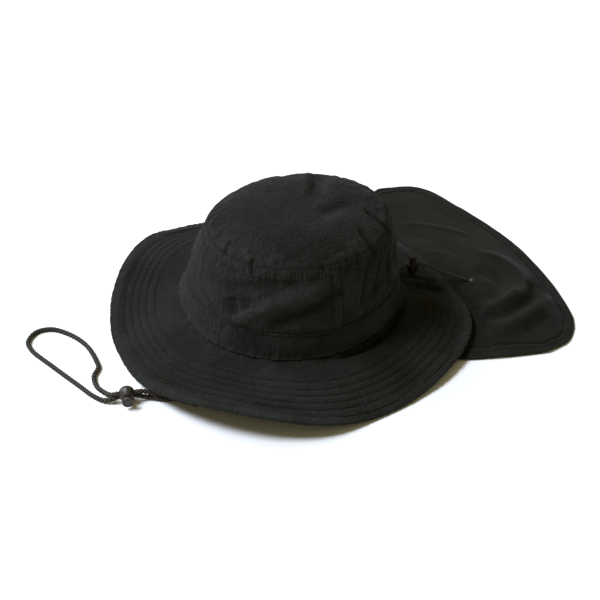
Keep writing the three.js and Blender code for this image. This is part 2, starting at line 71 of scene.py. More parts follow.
def soft_light(name, place, size, watts, colour):
    """A square panel of light that faces the hat."""
    data = bpy.data.lights.new(name, "AREA")
    data.color = colour
    data.shape = "SQUARE"
    data.size = size
    data.energy = watts
    light = bpy.data.objects.new(name, data)
    bpy.context.scene.collection.objects.link(light)
    light.location = looked_at + Vector(place)
    light.rotation_euler = Vector(place).to_track_quat("Z", "Y").to_euler()


soft_light("high_panel", (-0.9, -2.0, 2.9), 1.2, 176, (0.80, 0.87, 1.0))
soft_light("left_panel", (-2.2, -1.3, 2.4), 1.2, 65, (0.83, 0.90, 1.0))
bpy.context.scene.view_settings.view_transform = "Standard"

world = bpy.data.worlds.new("studio_air")
world.use_nodes = True
air = world.node_tree.nodes["Background"].inputs
air["Color"].default_value = (1.0, 0.88, 0.50, 1)
air["Strength"].default_value = 0.26
bpy.context.scene.world = world


def new_finish(name):
    """A new material, its node tree and its shader."""
    finish = bpy.data.materials.new(name)
    finish.use_nodes = True
    return finish, finish.node_tree, finish.node_tree.nodes["Principled BSDF"]


FLOOR_SIZE, FLOOR_DROP = 9, 0.0002

bpy.ops.object.select_all(action="DESELECT")
bpy.ops.mesh.primitive_plane_add(size=FLOOR_SIZE, location=(0, 0, -FLOOR_DROP))
floor = bpy.context.object
floor.name = "pale_floor"
floor_paint, tree, shader = new_finish("pale_floor")
shader.inputs["Base Color"].default_value = (0.9, 0.9, 0.9, 1)
shader.inputs["Roughness"].default_value = 0.8
floor.data.materials.append(floor_paint)

# Chin cord lock: a moulded ball with a slot for two cords and a bore for its spring button, made
# of matt brown-black plastic. The button's head faces the camera, and it slides into the ball.
BALL_PLACE = CROWN_MIDDLE + Vector((0.0438, -0.1822, 0.0078))
BALL_TURN = math.radians(-16)
BALL_RADIUS, BALL_FLAT, BALL_BORE, PAD_EDGE = 0.0075, 0.0064, 0.0050, 0.00035
CHIN_SLOT_WIDE, CHIN_SLOT_TALL = 0.0044, 0.0088
CHIN_HEAD_RADIUS, CHIN_STEM_RADIUS, HEAD_THICK = 0.0052, 0.0025, 0.0022
CHIN_HEAD_UNDER, CHIN_STEM_TIP = 0.0095, 0.00515


def start_piece(name, add, **shape):
    """A new primitive, with everything else deselected and its place in its mesh."""
    if bpy.context.object and bpy.context.object.mode != "OBJECT":
        bpy.ops.object.mode_set(mode="OBJECT")
    bpy.ops.object.select_all(action="DESELECT")
    add(**shape)
    bpy.ops.object.transform_apply(location=True, rotation=True, scale=True)
    piece = bpy.context.object
    piece.name = name
    piece.data.name = name
    return piece


def pick_faces(piece, wanted):
    """Goes into edit mode with only the faces whose middle and normal pass."""
    bpy.ops.object.mode_set(mode="OBJECT")
    mesh = piece.data
    mesh.vertices.foreach_set("select", [False] * len(mesh.vertices))
    mesh.edges.foreach_set("select", [False] * len(mesh.edges))
    mesh.polygons.foreach_set("select", [bool(wanted(f.center, f.normal)) for f in mesh.polygons])
    bpy.context.tool_settings.mesh_select_mode = (False, False, True)
    bpy.ops.object.mode_set(mode="EDIT")


def cut_flat(place, direction):
    """Cuts the whole piece off beyond a plane and closes it."""
    bpy.ops.object.mode_set(mode="EDIT")
    bpy.ops.mesh.select_all(action="SELECT")
    bpy.ops.mesh.bisect(plane_co=place, plane_no=direction, clear_outer=True, use_fill=True)
    bpy.ops.object.mode_set(mode="OBJECT")


def sink(inset, move, **more):
    """Insets the picked faces and moves their inside, which makes a step or a socket."""
    bpy.ops.mesh.inset(thickness=inset, **more)
    bpy.ops.mesh.extrude_region_move(TRANSFORM_OT_translate={"value": move})


def swell(by):
    """Extrudes the picked faces along their normals, out or, below 0, in."""
    bpy.ops.mesh.extrude_region_shrink_fatten(TRANSFORM_OT_shrink_fatten={"value": by})


def use_modifier(piece, kind, **settings):
    modifier = piece.modifiers.new(kind.lower(), kind)
    for key, value in settings.items():
        setattr(modifier, key, value)
    if bpy.context.object and bpy.context.object.mode != "OBJECT":
        bpy.ops.object.mode_set(mode="OBJECT")
    bpy.context.view_layer.objects.active = piece
    bpy.ops.object.modifier_apply(modifier=modifier.name)


def finish_hard(piece, edge, turn, place, degrees=32, smooth=40):
    """Rounds the piece's edges, shades it, and puts it in its place."""
    use_modifier(
        piece, "BEVEL", width=edge, segments=3, limit_method="ANGLE", angle_limit=math.radians(degrees)
    )
    bpy.ops.object.select_all(action="DESELECT")
    piece.select_set(True)
    bpy.ops.object.shade_smooth_by_angle(angle=math.radians(smooth))
    piece.data.transform(Matrix.Translation(place) @ Matrix.Rotation(turn, 4, "Z"))


def cut_slot(piece, wide, tall, through, place):
    """Cuts a slot with round ends along Y through the piece."""
    size = (wide, through, tall)
    cutter = start_piece("cutter", bpy.ops.mesh.primitive_cube_add, size=1, scale=size, location=place)
    bpy.ops.object.mode_set(mode="EDIT")
    bpy.ops.mesh.select_mode(type="EDGE")
    bpy.ops.mesh.select_all(action="DESELECT")
    bpy.ops.object.mode_set(mode="OBJECT")
    for edge in cutter.data.edges:
        a, b = (cutter.data.vertices[k].co for k in edge.vertices)
        edge.select = abs(a.x - b.x) < 1e-6 and abs(a.z - b.z) < 1e-6
    bpy.ops.object.mode_set(mode="EDIT")
    bpy.ops.mesh.bevel(offset=min(wide, tall) * 0.49, segments=8)
    bpy.ops.object.mode_set(mode="OBJECT")
    use_modifier(piece, "BOOLEAN", operation="DIFFERENCE", solver="EXACT", object=cutter)
    bpy.data.objects.remove(cutter)


def dress(piece, finish, slot, *nodes, body="hat"):
    """Gives a piece its finish, its body and the nodes it stands for, which it hides. Its slot is not
    used.
    """
    piece.data.materials.append(finish)
    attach(piece, body)
    if nodes:
        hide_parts(*nodes)


def spring_button(name, axis, head_radius, stem_radius, under, tip, steps):
    """A lock's button along an axis: a round head on a stem, with a ring sunk into its face."""
    button = start_piece(
        name,
        bpy.ops.mesh.primitive_cylinder_add,
        vertices=48,
        radius=head_radius,
        depth=HEAD_THICK,
        location=axis * (under + HEAD_THICK / 2),
        rotation=(0, math.pi / 2 * axis.x, 0),
    )
    pick_faces(button, lambda middle, normal: normal.dot(axis) < -0.99)
    sink(head_radius - stem_radius, axis * (tip - under))
    pick_faces(button, lambda middle, normal: normal.dot(axis) > 0.99)
    for inset, move in steps:
        sink(inset, axis * move)
    return button


def new_group(name, inputs, outputs):
    """A shader node group and its input and output ends."""
    group = bpy.data.node_groups.new(name, "ShaderNodeTree")
    for label, value in inputs:
        socket = group.interface.new_socket(name=label, in_out="INPUT", socket_type="NodeSocketFloat")
        socket.default_value = value
    for label in outputs:
        group.interface.new_socket(name=label, in_out="OUTPUT", socket_type="NodeSocketFloat")
    return group, group.nodes.new("NodeGroupInput").outputs, group.nodes.new("NodeGroupOutput").inputs


def add_node(tree, kind, sockets=None, **settings):
    """A node whose sockets are linked or set."""
    node = tree.nodes.new(kind)
    for key, value in settings.items():
        setattr(node, key, value)
    for key, value in (sockets or {}).items():
        if isinstance(value, bpy.types.NodeSocket):
            tree.links.new(value, node.inputs[key])
        else:
            node.inputs[key].default_value = value
    return node


def sum_node(tree, operation, *values, clamp=False):
    sockets = dict(enumerate(values))
    return add_node(tree, "ShaderNodeMath", sockets, operation=operation, use_clamp=clamp).outputs[0]


# Slow change of shade with small specks, as dust and handling leave on cloth, cord and plastic,
# and the fine crinkle of washed cloth.
handled, ends_in, ends_out = new_group(
    "handled_shade",
    [("Patch Size", 0.05), ("Speck Size", 0.002), ("Specks", 0.5)],
    ["Shade", "Grain", "Crinkle"],
)
place = add_node(handled, "ShaderNodeTexCoord").outputs["Object"]


def handled_noise(scale, detail, **more):
    sockets = {"Vector": place, "Scale": scale, "Detail": detail, **more}
    return add_node(handled, "ShaderNodeTexNoise", sockets).outputs[0]


patches = handled_noise(sum_node(handled, "DIVIDE", 1.0, ends_in["Patch Size"]), 3.0)
specks = handled_noise(sum_node(handled, "DIVIDE", 1.0, ends_in["Speck Size"]), 4.0)
mixed = sum_node(handled, "MULTIPLY", sum_node(handled, "SUBTRACT", specks, 0.5), ends_in["Specks"])
handled.links.new(sum_node(handled, "ADD", patches, mixed, clamp=True), ends_out["Shade"])
handled.links.new(specks, ends_out["Grain"])
handled.links.new(handled_noise(165.0, 4.0, Roughness=0.62, Distortion=1.4), ends_out["Crinkle"])


def group_node(tree, group, **values):
    """A group placed in a material with its own values."""
    node = add_node(tree, "ShaderNodeGroup", node_tree=group)
    for key, value in values.items():
        node.inputs[key.replace("_", " ")].default_value = value
    return node.outputs


def shade_between(tree, shader, shade, dark, light, low=0.3, high=0.7):
    """Runs the base colour from dark to light along a shade."""
    ramp = add_node(tree, "ShaderNodeValToRGB", {"Fac": shade})
    ramp.color_ramp.elements[0].position, ramp.color_ramp.elements[1].position = low, high
    ramp.color_ramp.elements[0].color = (*dark, 1)
    ramp.color_ramp.elements[1].color = (*light, 1)
    tree.links.new(ramp.outputs["Color"], shader.inputs["Base Color"])


def roughness_between(tree, shader, shade, low, high):
    found = add_node(tree, "ShaderNodeMapRange", {"Value": shade, "To Min": low, "To Max": high})
    tree.links.new(found.outputs[0], shader.inputs["Roughness"])


def raise_surface(tree, shader, height, depth):
    bump = add_node(tree, "ShaderNodeBump", {"Height": height, "Strength": 1.0, "Distance": depth})
    tree.links.new(bump.outputs["Normal"], shader.inputs["Normal"])


lock_plastic, tree, shader = new_finish("lock_plastic")
worn = group_node(tree, handled, Patch_Size=0.006, Speck_Size=0.0004, Specks=0.6)
shade_between(tree, shader, worn["Shade"], (0.012, 0.0088, 0.0058), (0.041, 0.029, 0.0185))
roughness_between(tree, shader, worn["Shade"], 0.38, 0.55)
raise_surface(tree, shader, worn["Grain"], 0.00006)
shader.inputs["Specular IOR Level"].default_value = 0.42

ball = start_piece(
    "chin_cord_ball",
    bpy.ops.mesh.primitive_uv_sphere_add,
    segments=12,
    ring_count=8,
    radius=BALL_RADIUS,
    rotation=(0, math.pi / 2, 0),
)
cut_flat((BALL_FLAT, 0, 0), (1, 0, 0))
pick_faces(ball, lambda middle, normal: normal.x > 0.99 and middle.x > BALL_FLAT - 0.0001)
sink(0.0005, (-BALL_BORE, 0, 0))
pick_faces(ball, lambda middle, normal: -0.0048 < middle.x < -0.0034 and middle.yz.length > 0.005)
bpy.ops.mesh.inset(thickness=PAD_EDGE, use_individual=True)
swell(PAD_EDGE)
cut_slot(ball, CHIN_SLOT_WIDE, CHIN_SLOT_TALL, 0.018, (0, 0, 0))
finish_hard(ball, 0.00025, BALL_TURN, BALL_PLACE, smooth=18)
dress(ball, lock_plastic, "lock_plastic", "chin_lock_body")

chin_button = spring_button(
    "chin_cord_button",
    Vector((1, 0, 0)),
    CHIN_HEAD_RADIUS,
    CHIN_STEM_RADIUS,
    CHIN_HEAD_UNDER,
    CHIN_STEM_TIP,
    [(0.0009, -0.0005), (0.0011, 0.0003)],
)
finish_hard(chin_button, 0.00025, BALL_TURN, BALL_PLACE)
dress(chin_button, lock_plastic, "lock_plastic", "chin_lock_button", body="chin_button")

# Chin cord: one round braided polyester cord, sewn into the join of crown and brim at both sides.
# It comes out under the brim, lies on the floor, runs twice through the lock and ends in a loop.
CHIN_CORD_LONG, CHIN_CORD_WIDE, CORD_STEP = 0.76, 0.0039, 0.0004
CHIN_STRANDS, CHIN_STRAND_RISE, CHIN_STRAND_RELIEF = 4, 0.0018, 0.0011
CHIN_ROUTE = [
    (0.097, -0.010, 0.0216), (0.0966, -0.012, 0.0165), (0.094, -0.028, 0.0065),
    (0.088, -0.060, 0.0018), (0.084, -0.095, 0.0018), (0.078, -0.127, 0.0018),
    (0.065, -0.1435, 0.0037), (0.0545, -0.1545, 0.0048), (0.0503, -0.162, 0.0070),
    (0.0476, -0.169, 0.0091), (0.046, -0.1745, 0.00945), (0.0438, -0.1822, 0.00945),
    (0.0416, -0.1898, 0.00945), (0.0382, -0.1944, 0.0072), (0.029, -0.1968, 0.003),
    (0.016, -0.2005, 0.0018), (0.002, -0.198, 0.0018), (-0.008, -0.190, 0.0018),
    (-0.018, -0.1885, 0.0018), (-0.042, -0.189, 0.0018), (-0.063, -0.197, 0.0018),
    (-0.078, -0.210, 0.0018), (-0.080, -0.224, 0.0018), (-0.070, -0.2355, 0.0018),
    (-0.058, -0.2365, 0.0018), (-0.028, -0.227, 0.0018), (0.009, -0.214, 0.0018),
    (0.026, -0.208, 0.0018), (0.036, -0.2022, 0.0023), (0.0403, -0.1964, 0.004),
    (0.0416, -0.1902, 0.00555), (0.0438, -0.1822, 0.00555), (0.046, -0.1745, 0.0052),
    (0.0482, -0.1692, 0.0037), (0.0508, -0.1628, 0.0022), (0.0560, -0.1562, 0.0018),
    (0.0600, -0.1484, 0.0018), (0.0590, -0.1400, 0.0018), (0.0480, -0.1300, 0.0018),
    (0.012, -0.108, 0.0018), (-0.030, -0.084, 0.0018), (-0.066, -0.058, 0.003),
    (-0.087, -0.034, 0.0135), (-0.096, -0.0125, 0.028), (-0.097, -0.010, 0.0333),
]


def smooth_line(points, shares):
    """Points at the given shares, 0 to 1, along one smooth line through a row of points."""
    points = np.asarray(points, float)
    row = np.vstack([2 * points[0] - points[1], points, 2 * points[-1] - points[-2]])
    place = np.clip(shares, 0, 1) * (len(points) - 1)
    first = np.minimum(place.astype(int), len(points) - 2)
    t = (place - first)[:, None]
    a, b, c, d = (row[first + k] for k in range(4))
    gaps = [np.sqrt(np.linalg.norm(q - p, axis=1))[:, None] for p, q in ((a, b), (b, c), (c, d))]
    start = ((b - a) / gaps[0] - (c - a) / (gaps[0] + gaps[1]) + (c - b) / gaps[1]) * gaps[1]
    end = ((c - b) / gaps[1] - (d - b) / (gaps[1] + gaps[2]) + (d - c) / gaps[2]) * gaps[1]
    bend = -3 * b + 3 * c - 2 * start - end
    return b + start * t + bend * t**2 + (2 * b - 2 * c + start + end) * t**3


def run_along(line):
    """How far along the line each of its points is."""
    return np.concatenate([[0], np.cumsum(np.linalg.norm(np.diff(line, axis=0), axis=1))])


def read_line(stops, run, line):
    return np.stack([np.interp(stops, run, line[:, k]) for k in range(3)], axis=1)


def even_line(route, step):
    """The route's smooth line where the hat lies, as points a step apart, and its length."""
    fine = smooth_line(route, np.linspace(0, 1, 60 * len(route))) + np.array(CROWN_MIDDLE)
    run = run_along(fine)
    return read_line(np.linspace(0, run[-1], int(run[-1] / step) + 1), run, fine), run[-1]


def braid_rise(around, along, strands, rise):
    """How far a plain braid stands out, 0 to 1, from shares of a turn and metres of length."""
    left = around * strands + along / (2 * rise)
    right = around * strands - along / (2 * rise)
    return np.sqrt(np.abs(np.sin(math.pi * left) * np.sin(math.pi * right)))


def braided_tube(name, line, wide, sides, strands, rise, relief):
    """A closed tube along a line, with its braid standing out of it. Its map runs in shares of a
    turn across and in metres along."""
    ahead = np.gradient(line, axis=0)
    ahead /= np.linalg.norm(ahead, axis=1)[:, None]
    side = np.cross(ahead[0], (0.0, 0.0, 1.0))
    across = np.empty_like(ahead)
    for k, direction in enumerate(ahead):
        side = side - direction * side.dot(direction)
        side /= np.linalg.norm(side)
        across[k] = side
    up = np.cross(across, ahead)
    run = run_along(line)
    turns = np.arange(sides) / sides
    radius = wide / 2 + relief * (braid_rise(turns[None, :], run[:, None], strands, rise) - 0.6)
    rings = (
        line[:, None, :]
        + (radius * np.cos(2 * math.pi * turns))[:, :, None] * across[:, None, :]
        + (radius * np.sin(2 * math.pi * turns))[:, :, None] * up[:, None, :]
    )
    points = rings.reshape(-1, 3)
    points[:, 2] = np.maximum(points[:, 2], 0.0)
    count, faces, maps = len(line), [], []
    for i in range(count - 1):
        for j in range(sides):
            k = (j + 1) % sides
            faces.append((i * sides + j, i * sides + k, (i + 1) * sides + k, (i + 1) * sides + j))
            low, high = j / sides, (j + 1) / sides
            maps += [low, run[i], high, run[i], high, run[i + 1], low, run[i + 1]]
    faces.append(tuple(reversed(range(sides))))
    faces.append(tuple(range((count - 1) * sides, count * sides)))
    for i in (0, count - 1):
        for j in range(sides):
            maps += [j / sides, run[i]]
    mesh = bpy.data.meshes.new(name)
    mesh.from_pydata(points.tolist(), [], faces)
    mesh.uv_layers.new(name="braid_map").data.foreach_set("uv", maps)
    piece = bpy.data.objects.new(name, mesh)
    bpy.context.scene.collection.objects.link(piece)
    mesh.update()
    outward(piece)
    mesh.shade_smooth()
    return piece


def outward(piece):
    """Turns the faces of a closed piece outwards."""
    bpy.ops.object.select_all(action="DESELECT")
    piece.select_set(True)
    bpy.context.view_layer.objects.active = piece
    bpy.ops.object.mode_set(mode="EDIT")
    bpy.ops.mesh.select_all(action="SELECT")
    bpy.ops.mesh.normals_make_consistent(inside=False)
    bpy.ops.object.mode_set(mode="OBJECT")


def map_places(tree):
    """The two numbers of a piece's own map."""
    coordinates = add_node(tree, "ShaderNodeTexCoord").outputs["UV"]
    return add_node(tree, "ShaderNodeSeparateXYZ", {0: coordinates}).outputs[:2]


# Braid seen as shade and height, on a map in shares of a turn and metres.
braid, ends_in, ends_out = new_group(
    "braid", [("Strands", 8.0), ("Rise", 0.0014)], ["Height", "Over", "Fibre"]
)
map_across, map_up = map_places(braid)
around = sum_node(braid, "MULTIPLY", map_across, ends_in["Strands"])
along = sum_node(braid, "DIVIDE", map_up, sum_node(braid, "MULTIPLY", ends_in["Rise"], 2.0))
left = sum_node(braid, "ADD", around, along)
right = sum_node(braid, "SUBTRACT", around, along)
left_rise = sum_node(braid, "PINGPONG", left, 0.5)
right_rise = sum_node(braid, "PINGPONG", right, 0.5)
rise = sum_node(braid, "MULTIPLY", sum_node(braid, "MULTIPLY", left_rise, right_rise), 4.0)
floors = sum_node(braid, "ADD", sum_node(braid, "FLOOR", left), sum_node(braid, "FLOOR", right))
over = sum_node(braid, "FLOORED_MODULO", floors, 2.0)
fibre_left = sum_node(braid, "PINGPONG", sum_node(braid, "MULTIPLY", left, 6.0), 0.5)
fibre_right = sum_node(braid, "PINGPONG", sum_node(braid, "MULTIPLY", right, 6.0), 0.5)
fibre = add_node(braid, "ShaderNodeMix", {0: over, 2: fibre_left, 3: fibre_right}).outputs[0]
braid.links.new(sum_node(braid, "POWER", rise, 0.5), ends_out["Height"])
braid.links.new(over, ends_out["Over"])
braid.links.new(fibre, ends_out["Fibre"])


def cord_finish(name, strands, rise, dark, light):
    """Braided cord: painted shade between its strands and painted light on their tops, with fine fibres
    and a dull shine on top.
    """
    finish, tree, shader = new_finish(name)
    woven = group_node(tree, braid, Strands=strands, Rise=rise)
    worn = group_node(tree, handled, Patch_Size=0.015, Speck_Size=0.0006, Specks=0.5)
    base_tone = sum_node(tree, "MULTIPLY", worn["Shade"], 0.4)
    # Painted light and shade: the braid's height makes each strand's top paler and the hollows between
    # strands darker.
    lifted = sum_node(tree, "MULTIPLY_ADD", woven["Height"], 0.6, base_tone)
    shade_between(tree, shader, lifted, dark, light, 0.35, 0.85)
    roughness_between(tree, shader, woven["Height"], 0.62, 0.42)
    fine = sum_node(tree, "MULTIPLY_ADD", woven["Fibre"], 0.25, woven["Height"])
    raise_surface(tree, shader, fine, 0.00012)
    shader.inputs["Specular IOR Level"].default_value = 0.3
    return finish


chin_finish = cord_finish(
    "braided_cord", CHIN_STRANDS, CHIN_STRAND_RISE, (0.0022, 0.0015, 0.0007), (0.072, 0.050, 0.027)
)
chin_line = even_line(CHIN_ROUTE, CORD_STEP)[0]
chin_cord = braided_tube(
    "chin_cord", chin_line, CHIN_CORD_WIDE, 24, CHIN_STRANDS, CHIN_STRAND_RISE, CHIN_STRAND_RELIEF
)
dress(chin_cord, chin_finish, "braided_cord", "chin_cord_left", "chin_cord_right", "chin_cord_loop")

# Draw cord lock and end bead: a small upright bell with grip ribs and a flat button on top, and a
# round bead that the cord's two ends are fixed in, all of the same matt plastic.
BELL_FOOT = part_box("draw_lock_body")[0].z
BELL_PLACE = CROWN_MIDDLE + Vector((0.0053, 0.127, BELL_FOOT))
BELL_TURN = math.radians(-13)
BELL_TALL, BELL_WIDEST = 0.0165, 0.0045
# The bell's outline, as heights and radii.
BELL_RINGS = [
    (0.0000, 0.0028), (0.0006, 0.0034), (0.0020, 0.00412), (0.0042, 0.0044), (0.0066, 0.0045),
    (0.0096, 0.00442), (0.0124, 0.00422), (0.0146, 0.0039), (0.0165, 0.0036),
]
DRAW_HEAD_RADIUS, DRAW_STEM_RADIUS = 0.0037, 0.0025
DRAW_HEAD_UNDER, DRAW_STEM_TIP = 0.0188, 0.015285
DRAW_SLOT_WIDE, DRAW_SLOT_TALL = 0.0051, 0.0032
BEAD_RADIUS, BEAD_HALF = 0.0038, 0.0034

bell = start_piece(
    "draw_cord_bell",
    bpy.ops.mesh.primitive_cylinder_add,
    vertices=48,
    radius=BELL_WIDEST,
    depth=BELL_TALL,
    location=(0, 0, BELL_TALL / 2),
)
bpy.ops.object.mode_set(mode="EDIT")
for height, _ in BELL_RINGS[1:-1]:
    bpy.ops.mesh.select_all(action="SELECT")
    bpy.ops.mesh.bisect(plane_co=(0, 0, height), plane_no=(0, 0, 1))
for height, radius in BELL_RINGS:
    bpy.ops.mesh.select_all(action="DESELECT")
    bpy.ops.object.mode_set(mode="OBJECT")
    for vertex in bell.data.vertices:
        vertex.select = abs(vertex.co.z - height) < 1e-5
    bpy.context.tool_settings.mesh_select_mode = (True, False, False)
    bpy.ops.object.mode_set(mode="EDIT")
    share = radius / BELL_WIDEST
    bpy.ops.transform.resize(value=(share, share, 1), center_override=(0, 0, height))
pick_faces(
    bell,
    lambda middle, normal: 0.002 < middle.z < 0.0096
    and abs(normal.z) < 0.5
    and int(math.degrees(math.atan2(middle.y, middle.x)) % 360 / 7.5) % 3 == 0,
)
swell(0.00016)
pick_faces(bell, lambda middle, normal: normal.z > 0.99)
sink(0.0007, (0, 0, -0.0052))
cut_slot(bell, DRAW_SLOT_WIDE, DRAW_SLOT_TALL, 0.012, (0, 0, BELL_TALL * 0.69))
finish_hard(bell, 0.0002, BELL_TURN, BELL_PLACE)
dress(bell, lock_plastic, "lock_plastic", "draw_lock_body")

draw_button = spring_button(
    "draw_cord_button",
    Vector((0, 0, 1)),
    DRAW_HEAD_RADIUS,
    DRAW_STEM_RADIUS,
    DRAW_HEAD_UNDER,
    DRAW_STEM_TIP,
    [(0.0008, -0.0004), (0.001, 0.0002)],
)
finish_hard(draw_button, 0.0003, BELL_TURN, BELL_PLACE)
dress(draw_button, lock_plastic, "lock_plastic", "draw_lock_button", body="draw_button")

bead_low, bead_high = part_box("draw_cord_end")
bead = start_piece(
    "draw_cord_bead",
    bpy.ops.mesh.primitive_uv_sphere_add,
    segments=40,
    ring_count=24,
    radius=BEAD_RADIUS,
    rotation=(0, math.pi / 2, 0),
)
for end in (1, -1):
    cut_flat((end * BEAD_HALF, 0, 0), (end, 0, 0))
pick_faces(bead, lambda middle, normal: abs(normal.x) > 0.99 and abs(middle.x) > BEAD_HALF - 0.0001)
bpy.ops.mesh.inset(thickness=0.0004, use_individual=True)
swell(-0.0008)
pick_faces(bead, lambda middle, normal: abs(middle.x) < 0.00035 and middle.yz.length > 0.003)
swell(-0.00025)
finish_hard(bead, 0.00015, math.radians(60), (bead_low + bead_high) / 2, 40)
dress(bead, lock_plastic, "lock_plastic", "draw_cord_end")

# Draw cord: thin elastic in a smooth braided sleeve. Its two ends come out of the crown's band at
# the back, pass side by side through the bell and run down over the brim's edge to the bead.
DRAW_CORD_WIDE = 0.0016
DRAW_STRANDS, DRAW_STRAND_RISE, DRAW_STRAND_RELIEF = 6, 0.0008, 0.0001
DRAW_ROUTES = {
    "left": [
        (0.016, 0.1054, 0.033), (0.0096, 0.113, 0.0278), (0.005, 0.1206, 0.0234),
        (0.0062, 0.1268, 0.023), (0.0078, 0.133, 0.0226), (0.0146, 0.1434, 0.0188),
        (0.0276, 0.1626, 0.011), (0.0343, 0.1724, 0.0074),
    ],
    "right": [
        (0.0124, 0.1058, 0.0326), (0.007, 0.114, 0.0276), (0.0031, 0.121, 0.0234),
        (0.0044, 0.1272, 0.023), (0.0059, 0.1334, 0.0226), (0.0126, 0.1444, 0.0188),
        (0.0259, 0.1638, 0.011), (0.0327, 0.1734, 0.0074),
    ],
}
draw_finish = cord_finish(
    "elastic_cord", DRAW_STRANDS, DRAW_STRAND_RISE, (0.009, 0.0075, 0.0055), (0.075, 0.062, 0.043)
)
for side_name, route in DRAW_ROUTES.items():
    draw_line, draw_length = even_line(route, CORD_STEP)
    draw_cord = braided_tube(
        f"draw_cord_{side_name}_end",
        draw_line,
        DRAW_CORD_WIDE,
        16,
        DRAW_STRANDS,
        DRAW_STRAND_RISE,
        DRAW_STRAND_RELIEF,
    )
    dress(draw_cord, draw_finish, "elastic_cord", f"draw_cord_{side_name}")

# Crown top: an oval panel of soft brushed cloth, sewn all round to the side panels. It domes a
# little and has shallow dents at the back, and its edge is puckered by the seam.
HEAD_WIDTH, HEAD_LENGTH = 0.186, 0.204
BASE_HEIGHT, BASE_SLOPE = 0.031, -0.07
BAND_HEIGHT, BAND_INSET = 0.025, 0.004
CROWN_HEIGHT = 0.0775
TOP_WIDTH, TOP_LENGTH, TOP_RISE, TOP_SLOPE = 0.140, 0.170, 0.020, -0.03
LEAN_BACK, LEAN_LEFT = 0.008, 0.001
CROWN_CLOTH = 0.0014
# Dents: where, how wide and tall they are, how they slant, and how deep, in crown heights.
CROWN_DENTS = [
    {"at": 165, "level": 2.25, "spread": 13, "tall": 0.5, "turn": -10, "depth": 0.02},
    {"at": 70, "level": 2.15, "spread": 14, "tall": 0.35, "turn": 20, "depth": 0.035},
]
# Folds and pinches: a line of (level, degrees), how wide, and how high or, below 0, how deep.
CROWN_CREASES = [
    ([(1.10, -38), (1.36, -21), (1.56, -5), (1.60, 4)], 0.0058, -0.0034),
    ([(1.08, -58), (1.39, -41), (1.61, -21), (1.66, -8)], 0.0068, 0.0032),
    ([(1.54, -68), (1.74, -45), (1.80, -22)], 0.0045, -0.0018),
    ([(1.44, -61), (1.18, -56)], 0.0062, -0.0026),
    ([(1.50, -52), (1.30, -50)], 0.0045, -0.0014),
    ([(1.25, 14), (1.49, 33), (1.62, 48)], 0.0050, -0.0016),
    ([(1.03, 12), (1.14, 30), (1.22, 44)], 0.0026, -0.0014),
    ([(1.02, 26), (1.09, 40), (1.12, 52)], 0.0024, -0.0013),
    ([(1.30, 8), (1.12, 13)], 0.0028, 0.0009),
    ([(1.12, 66), (1.40, 84), (1.62, 104)], 0.0060, -0.0022),
    ([(1.70, 118), (1.45, 134), (1.20, 142)], 0.0060, -0.0024),
    ([(1.20, 190), (1.45, 206), (1.60, 226)], 0.0060, -0.0026),
    ([(1.10, 236), (1.35, 250), (1.52, 268)], 0.0060, -0.0020),
    ([(2.20, 148), (2.45, 138), (2.64, 130), (2.82, 104)], 0.0055, -0.0050),
    ([(2.35, 122), (2.58, 108), (2.72, 78)], 0.0080, 0.0020),
    ([(2.66, 20), (2.60, 46), (2.44, 72)], 0.0070, -0.0036),
    ([(2.52, 14), (2.44, 44)], 0.0080, 0.0014),
    ([(2.22, 34), (2.10, 30), (1.98, 29), (1.84, 33)], 0.0024, -0.0024),
    ([(2.28, 62), (2.14, 56), (2.00, 53), (1.86, 57)], 0.0030, -0.0034),
    ([(1.85, 22), (1.55, 17), (1.25, 13)], 0.0024, -0.0015),
    ([(1.80, 34), (1.50, 27), (1.20, 24)], 0.0026, -0.0018),
    ([(1.76, 46), (1.48, 39), (1.22, 36)], 0.0024, -0.0016),
    ([(1.62, 58), (1.40, 50)], 0.0026, -0.0015),
    ([(2.07, -53), (1.98, -52), (1.88, -50)], 0.0022, -0.0022),
    ([(2.11, -77), (1.99, -74)], 0.0021, -0.0018),
    ([(2.03, -8), (1.94, -7)], 0.0015, -0.0016),
    ([(2.03, 8), (1.92, 9)], 0.0015, -0.0014),
    ([(2.04, 17), (1.90, 15)], 0.0015, -0.0016),
    ([(2.05, -118), (1.92, -115)], 0.0019, -0.0016),
    ([(2.05, 201), (1.92, 204)], 0.0020, -0.0018),
    ([(2.04, 98), (1.92, 95)], 0.0018, -0.0016),
]


def wrapped(degrees):
    return (degrees + 180) % 360 - 180


